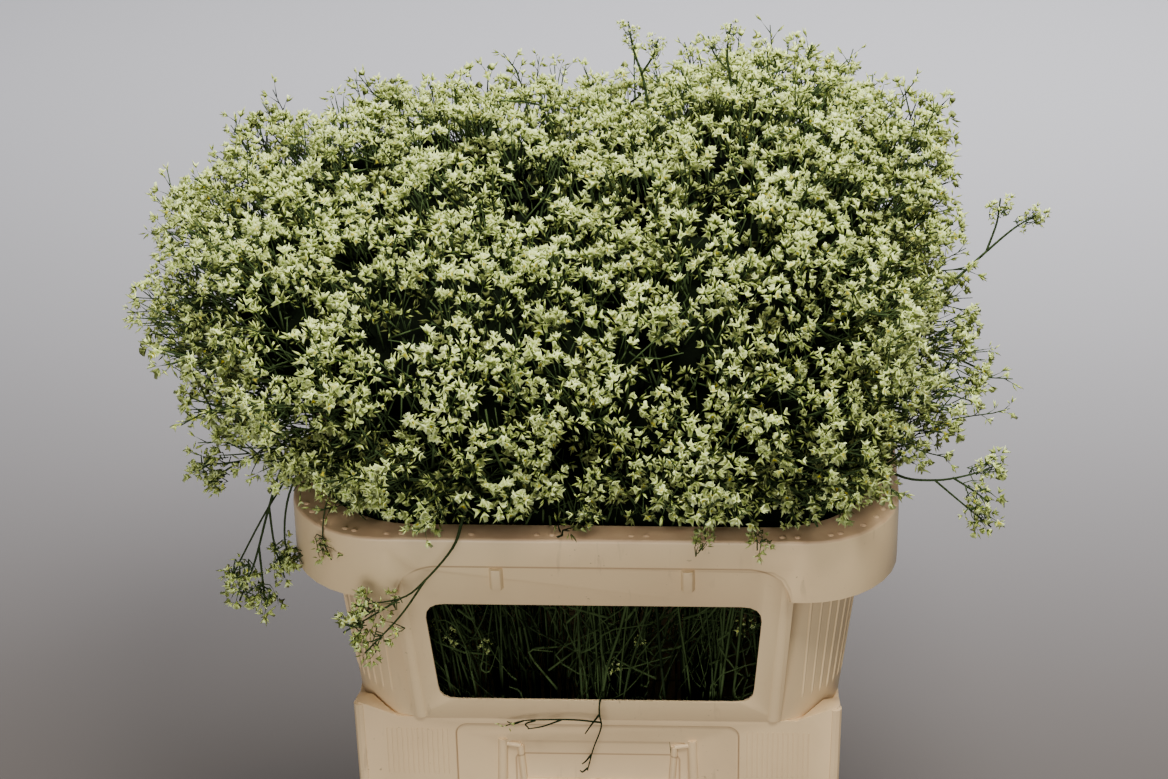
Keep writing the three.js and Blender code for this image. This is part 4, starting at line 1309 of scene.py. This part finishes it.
details = bmesh.new()
for index in range(FLUTES):
    angle = FLUTE_START + index * FLUTE_STEP
    low = on_corner_wall(angle, 0.336, -0.0022)
    middle = on_corner_wall(angle, 0.346, -0.0006)
    rod_between(details, low, middle, FLUTE_RADIUS, 8)
    rod_between(details, middle, on_corner_wall(angle, 0.466, -0.0006), FLUTE_RADIUS, 8)
low = (0.1450, bay_face(0.322) + 0.0014, 0.322)
rod_between(details, low, (0.1528, bay_face(0.478) + 0.0027, 0.478), 0.0052, 16, 0.6)
made = bmesh.ops.create_cube(details, size=1)
for vert in made["verts"]:
    front, top, side = vert.co.y < 0, vert.co.z > 0, (vert.co.x > 0) * 2 - 1
    z = 0.4935 if top else 0.4715
    half, depth = (0.0034, -0.0045) if front else (0.0070, 0.0030)
    vert.co = (0.0755 + side * half, bay_face(z) + depth, z)
rib_edges = [e for e in details.edges if all(v in made["verts"] for v in e.verts)]
rounded(details, rib_edges, 0.0007, 2)
for x in PIMPLES:
    pimple(details, (x, -0.1850, RIM_TOP))
for turn in CORNER_PIMPLES:
    reach = RIM_ARC_RADIUS - 0.009
    pimple(details, (RIM_ARC_X + reach * sin(turn), -RIM_ARC_Y - reach * cos(turn), RIM_TOP))
mirrored_into(bm, details)
finished(bm, "collar_shell", collar_plastic, "collar_plastic", "collar")

# %% [markdown]
# ### Bucket
# The bucket has a shallow framed panel on its front and back, and in it a hinged handle: two
# posts with a loop between them. Faint upright ribs stand beside the panel, and a thin post
# strengthens every corner.

# %% Bucket
BUCKET_DRAFT, BUCKET_TOP = 0.0055, 0.332


def bucket_face(z):
    """Where the bucket's front is, along y, at a height."""
    return -0.150 + BUCKET_DRAFT * (1 - z / BUCKET_TOP)


bm = moulded_bmesh("bucket")
for vert in bm.verts:
    if vert.co.z > BUCKET_TOP - 1e-4 and (abs(vert.co.x) < 0.170 or abs(vert.co.y) < 0.120):
        vert.co.z = SEAT + 0.0008
rounded(bm, sharp_edges(bm, EDGE_ANGLE), EDGE_ROUNDING, 2)
print("bucket:", len(bm.faces), "faces, open edges:", sum(not e.is_manifold for e in bm.edges))

details = bmesh.new()
panel = bucket_face(0.272) + 0.0026
rod_between(details, (0.0800, panel, 0.250), (0.0785, panel, 0.2975), 0.0042, 12, 0.9)
rod_between(details, (0.0785, panel, 0.2925), (0.0640, panel, 0.2900), 0.0024, 10)
rod_between(details, (0.0640, panel, 0.2905), (0.0615, panel, 0.252), 0.0028, 10)
rod_between(details, (0.0615, panel, 0.2535), (-0.001, panel, 0.2535), 0.0028, 10)
for x in np.arange(0.124, 0.176, 0.0042):
    rod_between(details, (x, bucket_face(0.262) + 0.0006, 0.262),
                (x, bucket_face(0.308) + 0.0006, 0.308), 0.0010, 6)
rod_between(details, (0.1925, -0.1415, 0.004), (0.1962, -0.1457, 0.3312), 0.0050, 10)
mirrored_into(bm, details)
finished(bm, "bucket_shell", bucket_plastic, "bucket_plastic", "bucket")

# %% Water
water, sheet, place, surface = new_material("water")
colour = sheet.mix(noise(place, 25, 3), paint(190, 204, 180), paint(160, 176, 140))
surface(Base_Color=colour, Roughness=0.05, Alpha=0.5)
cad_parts["water"].data.materials.clear()
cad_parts["water"].data.materials.append(water)

# %% [markdown]
# ## Size
# Both boxes, of the solids and of the dressed object, are printed.

# %% Finish
size = {"solids": [list(corner) for corner in SOLIDS_BOX],
        "dressed": [list(corner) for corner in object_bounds()]}
print(size)
